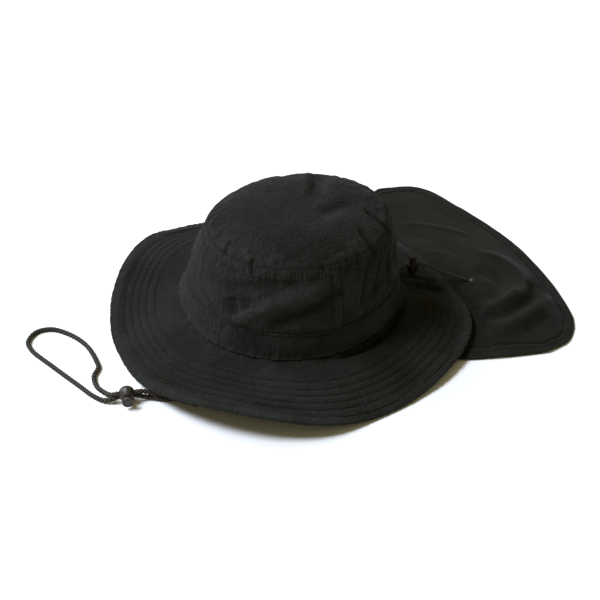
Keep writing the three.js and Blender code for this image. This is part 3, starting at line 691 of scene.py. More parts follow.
def crown_shape(level, degrees):
    """The crown's middle surface. level: 0 at the join with the brim, 1 at the band's top, 2 at the
    top seam, 3 at the middle of the top."""
    wall = np.minimum(level, 2)
    above_band = BAND_HEIGHT + (wall - 1) * (CROWN_HEIGHT - BAND_HEIGHT)
    height = np.where(wall < 1, wall * BAND_HEIGHT, above_band)
    share = height / CROWN_HEIGHT
    inset = BAND_INSET * np.minimum(wall, 1)
    narrowing = np.maximum(wall - 1, 0) ** 1.6
    half_width = (HEAD_WIDTH / 2 - inset) * (1 - narrowing) + TOP_WIDTH / 2 * narrowing
    half_length = (HEAD_LENGTH / 2 - inset) * (1 - narrowing) + TOP_LENGTH / 2 * narrowing
    inward = np.clip(3 - level, 0, 1)
    x = half_width * np.cos(np.radians(degrees)) * inward + LEAN_LEFT * share
    y = half_length * np.sin(np.radians(degrees)) * inward + LEAN_BACK * share
    slope = BASE_SLOPE * (1 - share) + TOP_SLOPE * share
    z = BASE_HEIGHT + height + slope * x + TOP_SLOPE * share * y + TOP_RISE * (1 - inward**3.5)
    points = np.stack([x, y, z], axis=-1)
    inside = np.array([0, 0, BASE_HEIGHT + CROWN_HEIGHT / 2]) - points
    inside /= np.linalg.norm(inside, axis=-1)[..., None]
    depth = 0
    for dent in CROWN_DENTS:
        up = level - dent["level"]
        off = wrapped(degrees - dent["at"] - dent["turn"] * up)
        depth += dent["depth"] * np.exp(-((off / dent["spread"]) ** 2) - (up / dent["tall"]) ** 2)
    fade = np.clip((3 - level) / 0.5, 0, 1)
    depth = depth * CROWN_HEIGHT * fade * fade * (3 - 2 * fade)
    return points + inside * depth[..., None]


def line_distance(points, places):
    """How far points are from a bent line, and where along it, 0 to 1, each is nearest."""
    apart, along = np.full(len(points), 9.0), np.zeros(len(points))
    for k, (a, b) in enumerate(zip(places[:-1], places[1:])):
        share = np.clip((points - a) @ (b - a) / ((b - a) @ (b - a)), 0, 1)
        gap = np.linalg.norm(points - a - share[:, None] * (b - a), axis=1)
        along = np.where(gap < apart, (k + share) / (len(places) - 1), along)
        apart = np.minimum(gap, apart)
    return apart, along


def fold_lines(points, folds):
    """Height of soft folds that run along lines of places and fade out at both ends."""
    flat = points.reshape(-1, points.shape[-1])
    height = np.zeros(len(flat))
    for places, wide, high in folds:
        middle = places.mean(axis=0)
        reach = np.linalg.norm(places - middle, axis=1).max() + 3 * wide
        near = np.linalg.norm(flat - middle, axis=1) < reach
        apart, along = line_distance(flat[near], places)
        ends = 0.25 + 0.75 * np.clip(8.8 * along * (1 - along), 0, 1)
        height[near] += high * ends * np.exp(-((apart / wide) ** 2))
    return height.reshape(points.shape[:-1])


def laid_folds(table, shape, steps=13):
    """The folds of a table as lines of places on a shape, each with its width and height."""
    folds = []
    for line, wide, high in table:
        path = smooth_line([(a, b, 0) for a, b in line], np.linspace(0, 1, steps))
        folds.append((shape(path[:, 0], path[:, 1]), wide, high))
    return folds


def crown_creases(level, degrees):
    return fold_lines(crown_shape(level, degrees), laid_folds(CROWN_CREASES, crown_shape))


def crumple(seed, around, up):
    """Smooth random heights, -1 to 1, in cells that close round the hat."""
    heights = np.random.default_rng(seed).uniform(-1, 1, (up + 3, around))

    def height_at(turn, rise):
        x, y = (turn % 1) * around, np.clip(rise, 0, 1) * up
        i, j = np.floor(x).astype(int) % around, np.floor(y).astype(int)
        s, t = x - np.floor(x), y - np.floor(y)
        s, t = s * s * (3 - 2 * s), t * t * (3 - 2 * t)
        k = (i + 1) % around
        low = heights[j, i] * (1 - s) + heights[j, k] * s
        high = heights[j + 1, i] * (1 - s) + heights[j + 1, k] * s
        return low * (1 - t) + high * t

    return height_at


def bump_at(distance, width):
    """1 at no distance, fading to 0 over the width."""
    return np.exp(-((distance / width) ** 2))


def facing(surface, u, v, du, dv):
    """Unit normals of a surface, up its first direction and anticlockwise round its second."""
    along_u = surface(u + du, v) - surface(u - du, v)
    along_v = surface(u, v + dv) - surface(u, v - dv)
    normal = np.cross(along_v, along_u)
    size = np.linalg.norm(normal, axis=-1)[..., None]
    return np.where(size < 1e-12, np.array([0.0, 0.0, 1.0]), normal / np.maximum(size, 1e-12))


top_folds, top_creases = crumple(11, 5, 5), crumple(12, 17, 17)
top_puckers, top_fine = crumple(13, 92, 3), crumple(14, 190, 6)


def crown_top_relief(level, degrees):
    """Dome folds, puckers and gathers at the edge, the turned seam's groove, and the creases."""
    points = crown_shape(level, degrees)
    across, back = points[..., 0] / 0.2 + 0.5, points[..., 1] / 0.2 + 0.5
    turn, inside = degrees / 360, (level - 2) * TOP_WIDTH / 2
    free = np.clip(inside / 0.005, 0, 1)
    return (
        free * 0.0009 * top_folds(across, back)
        + free * 0.0004 * top_creases(across + 0.2 * back, back)
        + free * bump_at(inside, 0.014) * 0.0011 * top_puckers(turn + inside * 0.4, inside / 0.012)
        + free * bump_at(inside, 0.008) * 0.0004 * top_fine(turn, inside / 0.01)
        + 0.0003 * bump_at(inside - 0.0035, 0.002)
        - 0.0005 * bump_at(np.maximum(inside + 0.0002, 0), 0.0011)
        + crown_creases(level, degrees)
    )


def raised(shape, relief, step, side=1, from_u=-9):
    """The surface of a shape with its relief standing out of it, on one side."""

    def surface(u, v):
        normal = side * facing(shape, np.maximum(u, from_u), v, step, 0.3)
        return shape(u, v) + normal * relief(u, v)[..., None]

    return surface


def read_each(rows, key, width):
    """One value of each vertex or corner of a mesh, as rows of numbers."""
    flat = np.empty(len(rows) * width, np.float32)
    rows.foreach_get(key, flat)
    return flat.reshape(-1, width)


def cloth_piece(name, surface, relief, us, vs, thickness, scale, flip=False):
    """A closed sheet of cloth: a grid laid on a surface and given its thickness. us runs up the grid and
    vs across it; the map is in metres, and the relief is kept for the finish, which paints wear and
    light and shade from it."""
    piece = start_piece(
        name,
        bpy.ops.mesh.primitive_grid_add,
        x_subdivisions=len(vs) - 1,
        y_subdivisions=len(us) - 1,
        size=1,
    )
    mesh = piece.data
    flat = read_each(mesh.vertices, "co", 3).astype(float) + 0.5
    u = np.interp(flat[:, 1], np.linspace(0, 1, len(us)), us)
    v = np.interp(flat[:, 0], np.linspace(0, 1, len(vs)), vs)
    points = surface(u, v) + np.array(CROWN_MIDDLE)
    mesh.vertices.foreach_set("co", points.astype(np.float32).ravel())
    corners = mesh.uv_layers.active.data
    maps = read_each(corners, "uv", 2) * np.array(scale, np.float32)
    corners.foreach_set("uv", maps.ravel())
    ridge = mesh.attributes.new("ridge", "FLOAT", "POINT")
    ridge.data.foreach_set("value", (relief(u, v) / 0.001).astype(np.float32))
    mesh.update()
    bpy.ops.object.mode_set(mode="EDIT")
    bpy.ops.mesh.select_all(action="SELECT")
    bpy.ops.mesh.remove_doubles(threshold=1e-6)
    if flip:
        bpy.ops.mesh.flip_normals()
    bpy.ops.object.mode_set(mode="OBJECT")
    use_modifier(piece, "SOLIDIFY", thickness=thickness, offset=0)
    solid = read_each(mesh.vertices, "co", 3)
    solid[:, 2] = np.maximum(solid[:, 2], 0)
    mesh.vertices.foreach_set("co", solid.ravel())
    mesh.update()
    mesh.shade_smooth()
    return piece


# Plain weave on a map in metres: threads go over and under each other in turn.
weave, ends_in, ends_out = new_group("plain_weave", [("Thread", 0.0005)], ["Height", "Gap Shade"])
across, up = (sum_node(weave, "DIVIDE", place, ends_in["Thread"]) for place in map_places(weave))
cells = sum_node(weave, "ADD", sum_node(weave, "FLOOR", across), sum_node(weave, "FLOOR", up))
over = sum_node(weave, "FLOORED_MODULO", cells, 2.0)
across_rise = sum_node(weave, "PINGPONG", across, 0.5)
up_rise = sum_node(weave, "PINGPONG", up, 0.5)
thread = add_node(weave, "ShaderNodeMix", {0: over, 2: across_rise, 3: up_rise}).outputs[0]
other = add_node(weave, "ShaderNodeMix", {0: over, 2: up_rise, 3: across_rise}).outputs[0]
rise = sum_node(weave, "MULTIPLY_ADD", thread, 1.4, sum_node(weave, "MULTIPLY", other, 0.6))
weave.links.new(rise, ends_out["Height"])
weave.links.new(sum_node(weave, "SUBTRACT", 1.0, rise, clamp=True), ends_out["Gap Shade"])

# Folds and puckers: paler where the cloth stands up, partly wear and partly painted light, and darker in
# its seams, creases and hollows, which is painted shade.
fold_wear_and_shade, ends_in, ends_out = new_group("fold_wear_and_painted_shade", [("Ridges", 0.3)], ["Shade"])
kept = add_node(fold_wear_and_shade, "ShaderNodeAttribute", attribute_name="ridge").outputs["Fac"]
fold_wear_and_shade.links.new(sum_node(fold_wear_and_shade, "MULTIPLY", kept, ends_in["Ridges"]), ends_out["Shade"])


def cloth_finish(name, dark, light, fabric, thread, ridges, sheen, crinkle):
    """Brushed woven cloth: faded in patches, with its weave and a soft nap. It is paler on its folds,
    partly wear and partly painted light, with painted light and shade on its crinkles and painted shade
    between its threads.
    """
    finish, tree, shader = new_finish(name)
    woven = group_node(tree, fabric, Thread=thread)
    worn = group_node(tree, handled, Patch_Size=0.045, Speck_Size=0.0016, Specks=0.5)
    # Painted light and shade from each piece's relief: paler on raised folds, which is also wear, and
    # darker in seams and hollows.
    fold = group_node(tree, fold_wear_and_shade, Ridges=ridges)
    base_tone = sum_node(tree, "ADD", worn["Shade"], fold["Shade"])
    # Painted light and shade on the crinkle: the same noise that bumps the cloth makes its raised
    # crinkles paler and its hollows darker.
    lifted = sum_node(tree, "SUBTRACT", worn["Crinkle"], 0.5)
    base_tone = sum_node(tree, "MULTIPLY_ADD", lifted, 0.8, base_tone)
    # Painted shade between the threads: where the weave or knit dips, the colour darkens.
    shade = sum_node(tree, "MULTIPLY_ADD", woven["Gap Shade"], -0.18, base_tone)
    shade_between(tree, shader, shade, dark, light, 0.2, 0.8)
    roughness_between(tree, shader, base_tone, 0.97, 0.84)
    nap = sum_node(tree, "MULTIPLY_ADD", worn["Grain"], 0.8, woven["Height"])
    raise_surface(tree, shader, sum_node(tree, "MULTIPLY_ADD", worn["Crinkle"], crinkle, nap), 0.00014)
    shader.inputs["Sheen Weight"].default_value = sheen
    shader.inputs["Sheen Roughness"].default_value = 0.5
    shader.inputs["Specular IOR Level"].default_value = 0.12
    return finish


crown_finish = cloth_finish(
    "crown_cloth", (0.0098, 0.0098, 0.0072), (0.0188, 0.0198, 0.0162), weave, 0.0005, 0.24, 0.03, 30.0
)


def spread(start, end, count):
    return np.linspace(start, end, count + 1)


TOP_FOOT = 1.99
crown_top = cloth_piece(
    "crown_top_panel",
    raised(crown_shape, crown_top_relief, 0.004, from_u=2.005),
    crown_top_relief,
    TOP_FOOT + (3 - TOP_FOOT) * spread(0, 1, 56) ** 1.2,
    spread(0, 360, 430),
    CROWN_CLOTH,
    (0.52, 0.075),
)
dress(crown_top, crown_finish, "crown_cloth", "crown_top")

# Crown sides: a front and a rear panel of the same cloth, joined by a flat-felled seam at each side
# and to the top by a turned seam with a row of topstitch, which gathers the cloth into puckers.
WALL_HEIGHT, TOPSTITCH_DOWN = 0.0525, 0.0082
FELL_ASIDE = 2.15

side_folds, side_creases = crumple(21, 13, 3), crumple(22, 40, 7)
side_puckers, side_fine, side_crepe = crumple(23, 84, 3), crumple(24, 170, 7), crumple(25, 118, 11)


def gather_comb(turn, count):
    """Small upright gathers, uneven in place and strength, as a seam draws them up."""
    strength = 0.6 + 0.4 * side_fine(turn, 0.5)
    return np.sin(2 * math.pi * (turn * count + 0.5 * side_puckers(turn, 0.5))) * strength


def side_seam_off(degrees):
    """Degrees from the nearer of the two side seams."""
    return np.minimum(np.abs(wrapped(degrees)), np.abs(wrapped(degrees - 180)))


def crown_side_relief(level, degrees):
    """Folds and crepe of the wall, gathers at both its seams, the sunk seams, and the creases."""
    turn, down, up = degrees / 360, (2 - level) * WALL_HEIGHT, (level - 1) * WALL_HEIGHT
    off = side_seam_off(degrees)
    rolled = np.clip(1 - down / TOPSTITCH_DOWN, 0, 1) ** 0.5
    gathers = side_puckers(turn + down * 0.5, down / 0.03)
    free = np.clip(down / 0.004, 0, 1) * (0.1 + 0.9 * np.clip(up / 0.005, 0, 1))
    return (
        free * 0.0010 * side_folds(turn + 0.05 * (level - 1), level - 1)
        + free * 0.0005 * side_creases(turn + 0.08 * (level - 1), level - 1)
        + free * 0.00025 * side_crepe(turn + 0.05 * (level - 1), level - 1)
        + free * 0.00075 * gathers * bump_at(down - 0.006, 0.009)
        + free * 0.0004 * gather_comb(turn, 150) * bump_at(np.maximum(down - 0.005, 0), 0.0035)
        + free * 0.0003 * side_fine(turn, down / 0.02) * bump_at(down - 0.004, 0.009)
        + 0.0005 * rolled
        - 0.0003 * bump_at(down, 0.001)
        - 0.0006 * bump_at(down - TOPSTITCH_DOWN, 0.0010)
        + 0.0006 * side_puckers(turn, 0.9) * bump_at(up, 0.008)
        + free * 0.0004 * gather_comb(turn + 0.3, 130) * bump_at(up, 0.007)
        - 0.0006 * bump_at(np.maximum(up - 0.0001, 0), 0.0011)
        + np.clip(up / 0.003, 0, 1) * crown_creases(level, degrees)
        + 0.0008 * bump_at(np.maximum(off - FELL_ASIDE + 0.4, 0), 0.4)
        - 0.0010 * bump_at(off - FELL_ASIDE, 0.45)
        + 0.0003 * side_fine(0.3 + level * 0.13, turn) * bump_at(off, 4)
    )


crown_side_surface = raised(crown_shape, crown_side_relief, 0.004)
side_levels = np.concatenate(
    [spread(0.985, 1.06, 6), spread(1.08, 1.78, 22), spread(1.797, 1.997, 22)]
)
for name, node, start in (
    ("crown_front_panel", "crown_side_front", 180),
    ("crown_rear_panel", "crown_side_rear", 0),
):
    side_panel = cloth_piece(
        name,
        crown_side_surface,
        crown_side_relief,
        side_levels,
        spread(start, start + 180, 470),
        CROWN_CLOTH,
        (0.28, 0.058),
    )
    dress(side_panel, crown_finish, "crown_cloth", node)

# Crown band: a strip that goes all round the foot of the crown and holds the draw cord. It is
# topstitched along its upper edge and gathered into the join with the brim.
BAND_FLARE, FLARE_AT, FLARE_SPREAD = 0.0035, -118, 26
BAND_STITCH_DOWN = 0.0026
band_folds, band_gathers, band_fine = crumple(31, 24, 2), crumple(32, 104, 2), crumple(33, 200, 3)


def crown_band_relief(level, degrees):
    """Gathers at both edges, the sunk topstitch, the rolled foot, and the flare at the front."""
    turn, up, down = degrees / 360, level * BAND_HEIGHT, (1 - level) * BAND_HEIGHT
    free = 1 - 0.8 * bump_at(down, 0.003)
    return (
        free * 0.0007 * band_folds(turn, level)
        + free * 0.0007 * band_gathers(turn, level) * (bump_at(up, 0.012) + 0.7 * bump_at(down, 0.01))
        + 0.00025 * gather_comb(turn + 0.6, 130) * bump_at(up, 0.011)
        + 0.00022 * band_fine(turn, level)
        + 0.0006 * np.clip(1 - down / 0.0016, 0, 1) ** 0.5
        - 0.0006 * bump_at(down - BAND_STITCH_DOWN, 0.0008)
        + 0.0012 * bump_at(up, 0.0024)
        + BAND_FLARE * bump_at(wrapped(degrees - FLARE_AT), FLARE_SPREAD) * np.exp(-up / 0.0045)
        + 0.0003 * bump_at(down - 0.0105, 0.006)
    )


crown_band_surface = raised(crown_shape, crown_band_relief, 0.01)
crown_band = cloth_piece(
    "crown_gathered_band",
    crown_band_surface,
    crown_band_relief,
    spread(0.046, 0.994, 30),
    spread(0, 360, 760),
    CROWN_CLOTH,
    (0.6, 0.025),
)
dress(crown_band, crown_finish, "crown_cloth", "crown_band")

# Brim: two layers of cloth over a soft stiffener, in a front and a rear half that meet in a seam at
# each side. Five rows of stitching quilt its outer half, and the cloth puckers between them.
BRIM_WIDTH, BRIM_CLOTH, EDGE_CLOTH = 0.075, 0.0016, 0.0022
# Every 15 degrees round the hat: how far out the brim reaches and how high its edge lifts, in
# shares of its width and of the join's height, and how early on the way out it drops.
BRIM_REACH = [.93, .92, .93, .95, .92, .79, .71, .71, .75, .82, .89, .94,
              .97, .99, .98, .94, .93, .90, .87, .93, .97, .99, .99, .98]
BRIM_LIFT = [.05, .03, .18, .23, .16, .08, .07, .07, .07, .07, .06, .03,
             .11, .32, .73, .76, .40, .02, .00, .28, .64, .81, .65, .34]
BRIM_EARLY = [1.0, 1.0, 1.2, 1.5, 2.0, 2.4, 2.6, 2.6, 2.3, 2.0, 1.6, 1.4,
              1.3, 1.2, 1.2, 1.0, 1.0, 1.0, 1.0, 1.0, 1.0, 1.0, 1.0, 1.0]
QUILT_ROWS = [0.0158, 0.0234, 0.0312, 0.0386, 0.0477]
BRIM_ROUND, PUCKER_STEP = 0.82, 0.0056
BINDING_INSIDE = 0.0095
# The trench beside the band, where it is, and how far round and how wide it goes.
BRIM_DIP, DIP_AT, DIP_SPREAD, DIP_OUT, DIP_WIDE = 0.0135, 28, 22, 0.0046, 0.0032
BRIM_FLARE, FLARE_OUT = 0.0028, 0.0046
# Folds across the rear of the brim: a line of (out, degrees), how wide, and how high.
BRIM_CREASES = [
    ([(0.06, 72), (0.40, 77), (0.86, 76)], 0.0042, -0.0018),
    ([(0.05, 80), (0.47, 85), (0.88, 82)], 0.0042, -0.0020),
    ([(0.10, 76), (0.45, 81), (0.86, 79)], 0.0040, 0.0022),
    ([(0.15, 62), (0.50, 66), (0.80, 64)], 0.0060, 0.0020),
    ([(0.20, 94), (0.60, 98), (0.85, 96)], 0.0060, 0.0016),
    ([(0.10, -30), (0.30, -36)], 0.0060, 0.0008),
]


def read_round(column, degrees):
    """A column of values, evenly spaced round the hat, read smoothly at any direction."""
    column = np.asarray(column)
    place = (degrees % 360) * len(column) / 360
    row = np.floor(place).astype(int)
    t = place - row
    a, b, c, d = (column[(row + k) % len(column)] for k in (-1, 0, 1, 2))
    curved = (2 * a - 5 * b + 4 * c - d) * t**2 + (3 * b - a - 3 * c + d) * t**3
    return (2 * b + (c - a) * t + curved) / 2


def join_point(degrees):
    x = HEAD_WIDTH / 2 * np.cos(np.radians(degrees))
    y = HEAD_LENGTH / 2 * np.sin(np.radians(degrees))
    return np.stack([x, y, BASE_HEIGHT + BASE_SLOPE * x], axis=-1)


def join_normal(degrees):
    x, y = np.cos(np.radians(degrees)) / HEAD_WIDTH, np.sin(np.radians(degrees)) / HEAD_LENGTH
    size = np.hypot(x, y)
    return np.stack([x / size, y / size, np.zeros_like(x)], axis=-1)


def brim_shape(out, degrees):
    """The brim's middle surface, a share out from the join to the edge."""
    join = join_point(degrees)
    reach = BRIM_WIDTH * read_round(BRIM_REACH, degrees)
    low = EDGE_CLOTH / 2 + BASE_HEIGHT * np.maximum(read_round(BRIM_LIFT, degrees), 0)
    early = read_round(BRIM_EARLY, degrees)
    drop = (join[..., 2] - low) * (1 - np.maximum(1 - out, 0) ** early)
    points = join + join_normal(degrees) * (reach * out)[..., None]
    away = np.maximum(reach * out, 0)
    dip_round = BRIM_DIP * bump_at(wrapped(degrees - DIP_AT), DIP_SPREAD)
    dip = dip_round * bump_at(away - DIP_OUT, DIP_WIDE)
    flare_round = BRIM_FLARE * bump_at(wrapped(degrees - FLARE_AT), FLARE_SPREAD)
    flare = flare_round * np.exp(-away / FLARE_OUT)
    points[..., 2] += flare - drop - dip
    return points


brim_waves, brim_folds = crumple(41, 22, 2), crumple(42, 70, 4)
brim_gathers, brim_shift = crumple(43, 120, 2), crumple(44, 90, 8)


def brim_relief(out, degrees):
    """Waves, the quilting's channels with their slanting puckers, the sunk rows and side seams,
    gathers at the join, and the creases."""
    turn, inside = degrees / 360, (1 - out) * BRIM_WIDTH
    off = side_seam_off(degrees)
    run = turn * BRIM_ROUND
    bounds = [BINDING_INSIDE - 0.006, *QUILT_ROWS, QUILT_ROWS[-1] + 0.008]
    channel = np.interp(inside, bounds, range(len(bounds)))
    step = np.floor(channel)
    middle = np.sin(math.pi * (channel - step))
    to_row = np.min([np.abs(inside - row) for row in QUILT_ROWS], axis=0)
    quilted = np.clip((QUILT_ROWS[-1] + 0.001 - inside) / 0.002, 0, 1)
    slant = run / PUCKER_STEP + 0.85 * (channel - step) + 0.37 * step + 1.1 * brim_shift(turn, out)
    strength = 0.65 + 0.35 * brim_shift(turn + 0.37, 1 - out)
    puckers = np.sin(2 * math.pi * slant) * strength
    return (
        0.0010 * brim_waves(turn, out) * np.clip(out / 0.2, 0, 1)
        + 0.0003 * brim_folds(turn + 0.05 * out, out)
        + quilted * (0.0004 * middle - 0.0001 + 0.00022 * puckers * (0.45 + 0.55 * middle))
        - 0.0006 * bump_at(to_row, 0.0007)
        - 0.0009 * bump_at(off, 0.28)
        + 0.0004 * bump_at(off - 1.0, 0.5)
        + 0.0006 * brim_gathers(turn, out) * bump_at(out * BRIM_WIDTH, 0.009)
        + fold_lines(brim_shape(out, degrees), laid_folds(BRIM_CREASES, brim_shape))
    )


brim_surface = raised(brim_shape, brim_relief, 0.01, side=-1)
brim_finish = cloth_finish(
    "brim_cloth", (0.0067, 0.0066, 0.0043), (0.0130, 0.0132, 0.0101), weave, 0.0005, 0.35, 0.03, 18.0
)
# The grid has lines at each row of stitches and beside it, so that its groove is cut clean.
beside = np.array([-0.0011, 0, 0.0011, 0.0030, 0.0049])
insides = np.concatenate([[0.0072, 0.0085, 0.0102, 0.0122], *(row + beside for row in QUILT_ROWS)])
insides = np.concatenate([insides, spread(QUILT_ROWS[-1] + 0.007, BRIM_WIDTH, 14)])
for name, node, start in (
    ("brim_front_half", "brim_front", 180),
    ("brim_rear_half", "brim_rear", 0),
):
    brim_half = cloth_piece(
        name,
        brim_surface,
        brim_relief,
        1 - insides / BRIM_WIDTH,
        spread(start, start + 180, 520),
        BRIM_CLOTH,
        (0.41, 0.066),
    )
    dress(brim_half, brim_finish, "brim_cloth", node)

# Brim binding: one bias strip of thinner, slightly paler cloth, folded round the edge of the brim
# from above to below and stitched through. It pulls into slanting puckers all the way round.
STRIP_CLOTH, STRIP_PUCKERS = 0.00045, 0.0062
binding_folds, binding_shift = crumple(51, 60, 3), crumple(52, 130, 3)


def binding_shape(across, degrees):
    """The folded strip: 0 at its lower edge, 0.5 at the brim's edge, 1 at its upper edge."""
    half = EDGE_CLOTH / 2 - STRIP_CLOTH / 2
    side = np.clip((across - 0.5) / 0.06, -1, 1)
    rounding = np.cos(side * math.pi / 2) * half
    inside = np.maximum(np.abs(across - 0.5) - 0.06, 0) / 0.44 * (BINDING_INSIDE + 0.0003)
    reach = BRIM_WIDTH * read_round(BRIM_REACH, degrees)
    out = 1 - (inside + half - rounding) / BRIM_WIDTH - 0.1 * half / reach
    normal = -facing(brim_shape, np.minimum(out, 0.985), degrees, 0.01, 0.3)
    return brim_shape(out, degrees) + normal * (np.sin(side * math.pi / 2) * half)[..., None]


def binding_relief(across, degrees):
    """Slanting puckers, uneven folds, and the sunk row of stitches."""
    turn = degrees / 360
    away = np.abs(across - 0.5) * 2
    slant = turn / STRIP_PUCKERS + 0.9 * (across - 0.5) + 1.2 * binding_shift(turn, across)
    strength = 0.6 + 0.4 * binding_shift(turn + 0.4, 1 - across)
    return (
        0.00040 * np.sin(2 * math.pi * slant) * strength * np.clip(1.2 - away, 0, 1)
        + 0.0003 * binding_folds(turn, across) * np.clip(1 - away * 0.6, 0, 1)
        + 0.0003 * bump_at(away - 0.5, 0.3)
        - 0.0004 * bump_at(away - 0.84, 0.06)
    )


binding_surface = raised(binding_shape, binding_relief, 0.01)
binding_finish = cloth_finish(
    "binding_cloth", (0.0090, 0.0091, 0.0070), (0.0180, 0.0188, 0.0160), weave, 0.00042, 0.5, 0.04, 6.0
)
binding = cloth_piece(
    "brim_edge_binding",
    binding_surface,
    binding_relief,
    spread(0, 1, 26),
    spread(0, 360, 900),
    STRIP_CLOTH,
    (1.0, 0.022),
    flip=True,
)
dress(binding, binding_finish, "binding_cloth", "brim_binding")

# Neck flap: a single panel of soft knit cloth, sewn under the brim along the rear of the join. It
# slips out from under the brim and lies on the floor in low folds, with a turned hem all round.
FLAP_START, FLAP_SPREAD, FLAP_REACH, FLAP_DRAPE = 20, 0.150, 0.250, 0.070
FLAP_BOW, FLAP_CLOTH, UNDER_BRIM, CLEAR = 0.006, 0.0012, 0.0013, 0.0003
FLAP_EDGE = [
    (-0.975, 0.69, 0), (-0.935, 0.795, 0), (-0.83, 0.865, 0), (-0.53, 0.928, 0), (-0.17, 0.984, 0),
    (0.17, 1.0, 0), (0.54, 0.98, 0), (0.84, 0.932, 0), (0.98, 0.85, 0), (1.01, 0.75, 0),
]
# Low swells (across, back, how wide, how deep, how high), and folds along lines of (across, back)
# with how wide and how high or, below 0, how deep. All from the middle of the crown.
FLAP_SWELLS = [
    (0.030, 0.198, 0.055, 0.030, 0.0095),
    (0.098, 0.183, 0.034, 0.045, 0.0115),
    (-0.060, 0.180, 0.050, 0.028, 0.0045),
]
FLAP_FOLDS = [
    ([(-0.0840, 0.1545), (-0.0601, 0.1838), (-0.0421, 0.2036), (-0.0340, 0.2116)], 0.0032, 0.0020),
    ([(-0.070, 0.143), (-0.054, 0.164), (-0.040, 0.178)], 0.0075, -0.0022),
    ([(-0.026, 0.161), (-0.011, 0.175), (0.006, 0.180)], 0.0030, 0.0016),
    (
        [
            (0.000, 0.202), (0.020, 0.217), (0.042, 0.223),
            (0.063, 0.219), (0.079, 0.203), (0.087, 0.182),
        ],
        0.0075,
        0.0038,
    ),
    ([(0.022, 0.186), (0.037, 0.194), (0.048, 0.197), (0.066, 0.186), (0.0725, 0.174)], 0.0085, -0.0052),
    (
        [(0.062, 0.230), (0.0765, 0.221), (0.091, 0.2015), (0.096, 0.178), (0.0905, 0.157)],
        0.0085,
        -0.0080,
    ),
    ([(0.085, 0.235), (0.092, 0.224), (0.105, 0.2025), (0.114, 0.177), (0.112, 0.148)], 0.0070, 0.0034),
    ([(0.112, 0.2135), (0.1185, 0.197), (0.127, 0.178)], 0.0070, -0.0026),
    ([(0.0825, 0.154), (0.0815, 0.172), (0.080, 0.1895), (0.0725, 0.202)], 0.0042, 0.0030),
    (
        [(0.066, 0.1585), (0.0815, 0.1535), (0.0965, 0.1485), (0.115, 0.1395), (0.132, 0.127)],
        0.0066,
        -0.0150,
    ),
]
HEM_WIDE, FLAP_LIFT = 0.0088, 0.0006


def under_brim(x, y):
    """Height of the flap's middle surface that just clears the brim above it."""
    degrees = np.degrees(np.arctan2(y / HEAD_LENGTH, x / HEAD_WIDTH))
    for _ in range(4):
        join, normal = join_point(degrees), join_normal(degrees)
        dx, dy = x - join[..., 0], y - join[..., 1]
        out = dx * normal[..., 0] + dy * normal[..., 1]
        aside = dy * normal[..., 0] - dx * normal[..., 1]
        degrees = degrees + np.degrees(aside / (HEAD_LENGTH / 2 + out))
    join = join_point(degrees)
    out = np.hypot(x - join[..., 0], y - join[..., 1]) / (BRIM_WIDTH * read_round(BRIM_REACH, degrees))
    easing = UNDER_BRIM * np.minimum(out / 0.2, 1)
    share = np.clip((out - 0.6) / 0.2, 0, 1)
    above = BRIM_CLOTH + (EDGE_CLOTH - BRIM_CLOTH) * share * share * (3 - 2 * share)
    upright = np.abs(facing(brim_shape, out, degrees, 0.02, 1)[..., 2])
    clear = brim_shape(out, degrees)[..., 2] - (above / 2 + CLEAR + easing + FLAP_CLOTH / 2) / upright
    return np.where(out > 1.1, 9.0, clear)


def seen_from_above(x, y):
    return np.stack([x, y], axis=-1)


def fold_height(x, y):
    """How high the flap's folds stand, with hollows eased out to the floor."""
    height = np.zeros_like(x)
    for across, back, wide, deep, high in FLAP_SWELLS:
        height += high * np.exp(-(((x - across) / wide) ** 2) - ((y - back) / deep) ** 2)
    folds = laid_folds(FLAP_FOLDS, seen_from_above, 17)
    height = height + fold_lines(seen_from_above(x, y), folds)
    return (height + np.hypot(height, 0.0012)) / 2


flap_waves, flap_creases, flap_hem = crumple(61, 9, 7), crumple(62, 26, 18), crumple(63, 46, 2)


def flap_plan(out, side):
    """Where the flap lies, seen from above, with its seam's height."""
    seam = brim_shape(np.full_like(side, 0.04), 180 - FLAP_START - (180 - 2 * FLAP_START) * side)
    hem = smooth_line(FLAP_EDGE, np.clip(side, 0, 1).ravel()).reshape(*side.shape, 3)
    hem = hem * np.array([FLAP_SPREAD, FLAP_REACH, 0])
    bow = FLAP_BOW * 4 * out * (1 - out) * (2 * side - 1) ** 3
    x = seam[..., 0] * (1 - out) + hem[..., 0] * out + bow
    y = seam[..., 1] * (1 - out) + hem[..., 1] * out
    return x, y, seam


def hem_distance(out, side):
    """How far a point of the flap is from its hem or sides, seen from above."""
    rim_out = np.concatenate([[0.0], np.ones(40), [0.0]])
    rim_side = np.concatenate([[0.0], np.linspace(0, 1, 40), [1.0]])
    rim, points = (
        seen_from_above(*flap_plan(*at)[:2]) for at in ((rim_out, rim_side), (out, side))
    )
    return line_distance(points.reshape(-1, 2), rim)[0].reshape(out.shape)


def flap_relief(out, side):
    """Waves and creases, and the hem: its second layer, its groove and its puckers."""
    edge = hem_distance(out, side)
    free = np.clip((out - 0.3) / 0.2, 0, 1)
    return free * (
        0.0007 * flap_waves(side, out)
        + 0.0004 * flap_creases(side + 0.2 * out, out)
        + 0.0005 * np.clip((HEM_WIDE - edge) / 0.0008, 0, 1)
        - 0.0010 * bump_at(edge - HEM_WIDE - 0.0006, 0.0011)
        + 0.0005 * flap_hem(side + 0.05 * out, edge / 0.02) * bump_at(edge - HEM_WIDE, 0.009)
    )


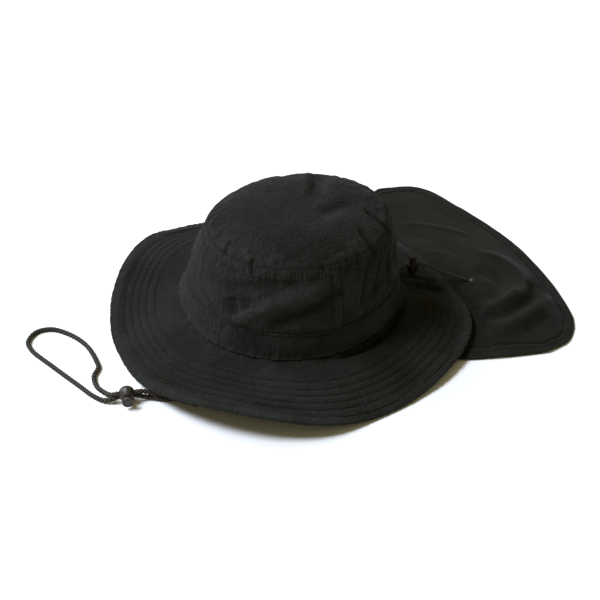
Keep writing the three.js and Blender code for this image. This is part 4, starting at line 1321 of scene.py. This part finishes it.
def flap_surface(out, side):
    x, y, seam = flap_plan(out, side)
    gone = np.hypot(x - seam[..., 0], y - seam[..., 1])
    fall = np.maximum(1 - gone / FLAP_DRAPE, 0) ** 2
    near = np.minimum((1 - out) / 0.12, 1) * np.minimum(np.minimum(side, 1 - side) / 0.1, 1)
    lying = FLAP_CLOTH / 2
    folded_up = fold_height(x, y) * near
    loose = seam[..., 2] * fall + folded_up + lying + FLAP_LIFT + flap_relief(out, side)
    z = np.maximum(np.minimum(under_brim(x, y), loose), lying)
    return np.stack([x, y, z], axis=-1)


# Rib knit on a map in metres: columns of slanting loops, as deep as a thread.
knit, ends_in, ends_out = new_group("rib_knit", [("Thread", 0.0013)], ["Height", "Gap Shade"])
across, up = (sum_node(knit, "DIVIDE", place, ends_in["Thread"]) for place in map_places(knit))
column = sum_node(knit, "PINGPONG", across, 0.5)
slant = sum_node(knit, "ADD", sum_node(knit, "MULTIPLY", up, 1.3), column)
slanted = sum_node(knit, "PINGPONG", slant, 0.5)
rise = sum_node(knit, "MULTIPLY_ADD", slanted, 0.7, sum_node(knit, "MULTIPLY", column, 1.5))
knit.links.new(rise, ends_out["Height"])
knit.links.new(sum_node(knit, "SUBTRACT", 0.8, rise, clamp=True), ends_out["Gap Shade"])

flap_finish = cloth_finish(
    "flap_cloth", (0.0056, 0.0055, 0.0035), (0.0092, 0.0090, 0.0062), knit, 0.0013, 0.45, 0.04, 3.0
)
# The grid is finer in the hem, whose share of the flap is the same all along each side.
hem_in, side_in = HEM_WIDE / 0.13, HEM_WIDE / 0.29
flap_outs = np.concatenate(
    [spread(0, 0.4, 14), spread(0.412, 0.984 - hem_in, 76), spread(0.988 - hem_in, 1, 18)]
)
flap_sides = np.concatenate(
    [
        spread(0, side_in + 0.005, 12),
        spread(side_in + 0.010, 0.990 - side_in, 160),
        spread(0.995 - side_in, 1, 12),
    ]
)
flap = cloth_piece(
    "rear_neck_flap",
    flap_surface,
    flap_relief,
    flap_outs,
    flap_sides,
    FLAP_CLOTH,
    (0.30, 0.17),
)
dress(flap, flap_finish, "flap_cloth", "neck_flap")

# Stitching: doubled sewing thread, in rows sunk into the cloth, along the seams of the crown, the
# quilted rows and seams of the brim, the binding's edge and the flap's hem.
STITCH_LONG, STITCH_GAP, THREAD_WIDE = 0.0028, 0.0009, 0.00045
BRIM_SEAM_ASIDE = 1.3

thread_finish, tree, shader = new_finish("sewing_thread")
worn = group_node(tree, handled, Patch_Size=0.02, Speck_Size=0.0003, Specks=0.8)
shade_between(tree, shader, worn["Shade"], (0.006, 0.006, 0.005), (0.016, 0.0165, 0.014))
roughness_between(tree, shader, worn["Shade"], 0.6, 0.8)
raise_surface(tree, shader, worn["Grain"], 0.00005)
shader.inputs["Specular IOR Level"].default_value = 0.15

stitch = start_piece(
    "one_stitch", bpy.ops.mesh.primitive_uv_sphere_add, segments=6, ring_count=4, radius=0.5
)
stitch.data.transform(Matrix.Rotation(math.pi / 2, 4, "Y"))
stitch_points = np.array([vertex.co for vertex in stitch.data.vertices])
stitch_faces = [tuple(face.vertices) for face in stitch.data.polygons]
bpy.data.objects.remove(stitch)


def sew(name, rows, sunk, slot):
    """Stitches along rows of points with their normals, each row at its own spacing."""
    points, faces = [], []
    for line, normals in rows:
        run = run_along(line)
        count = max(int(run[-1] / (STITCH_LONG + STITCH_GAP)), 1)
        middles = (np.arange(count) + 0.5) * run[-1] / count
        at, out = read_line(middles, run, line), read_line(middles, run, normals)
        back, ahead = (read_line(middles + step, run, line) for step in (-0.001, 0.001))
        forward = ahead - back
        forward /= np.linalg.norm(forward, axis=1)[:, None]
        out /= np.linalg.norm(out, axis=1)[:, None]
        aside = np.cross(out, forward)
        x, y, z = (stitch_points[None, :, k, None] for k in range(3))
        dip = THREAD_WIDE * (0.5 - 4.4 * x**2) - sunk
        copies = (
            at[:, None]
            + forward[:, None] * x * STITCH_LONG
            + aside[:, None] * (y * THREAD_WIDE + x * 0.0004)
            + out[:, None] * (z * THREAD_WIDE * 0.8 + dip)
        )
        for each in copies:
            first = len(points)
            points.extend(each.tolist())
            faces.extend(tuple(first + k for k in face) for face in stitch_faces)
    mesh = bpy.data.meshes.new(name)
    mesh.from_pydata(points, [], faces)
    piece = bpy.data.objects.new(name, mesh)
    bpy.context.scene.collection.objects.link(piece)
    mesh.shade_smooth()
    dress(piece, thread_finish, slot)


def seam_row(surface, us, vs, thickness, side=1):
    """A row of points on the cloth's face, with its normals."""
    us, vs = np.broadcast_arrays(np.asarray(us, float), np.asarray(vs, float))
    normals = side * facing(surface, us, vs, 0.004, 0.25)
    return surface(us, vs) + normals * thickness / 2 + np.array(CROWN_MIDDLE), normals


all_round = np.linspace(0, 360, 1400)
crown_rows = [
    seam_row(crown_side_surface, 2 - TOPSTITCH_DOWN / WALL_HEIGHT, all_round, CROWN_CLOTH),
    seam_row(crown_band_surface, 1 - BAND_STITCH_DOWN / BAND_HEIGHT, all_round, CROWN_CLOTH),
]
for seam_at in (0, 180):
    for aside in (-FELL_ASIDE, FELL_ASIDE):
        crown_rows.append(
            seam_row(crown_side_surface, np.linspace(1.01, 1.985, 160), seam_at + aside, CROWN_CLOTH)
        )
sew("crown_stitching", crown_rows, 0.0001, "crown_cloth")

brim_rows = [
    seam_row(brim_surface, 1 - inside / BRIM_WIDTH, all_round, BRIM_CLOTH, -1)
    for inside in QUILT_ROWS
]
across_brim = np.linspace(0.02, 0.86, 140)
for seam_at in (0, 180):
    for aside in (-BRIM_SEAM_ASIDE, BRIM_SEAM_ASIDE):
        brim_rows.append(seam_row(brim_surface, across_brim, seam_at + aside, BRIM_CLOTH, -1))
sew("brim_stitching", brim_rows, 0.0001, "brim_cloth")

binding_row = seam_row(binding_surface, 0.92, all_round, STRIP_CLOTH)
sew("binding_stitching", [binding_row], 0.00005, "binding_cloth")

hem_sides, hem_outs = np.meshgrid(
    np.linspace(0.035, 0.965, 900), np.linspace(0.8, 1, 50), indexing="ij"
)
hem_gaps = hem_distance(hem_outs, hem_sides)
row_outs = [np.interp(-HEM_WIDE - 0.0006, -gap, out) for gap, out in zip(hem_gaps, hem_outs)]
hem_row = seam_row(flap_surface, row_outs, hem_sides[:, 0], FLAP_CLOTH)
sew("flap_stitching", [hem_row], 0.0001, "flap_cloth")
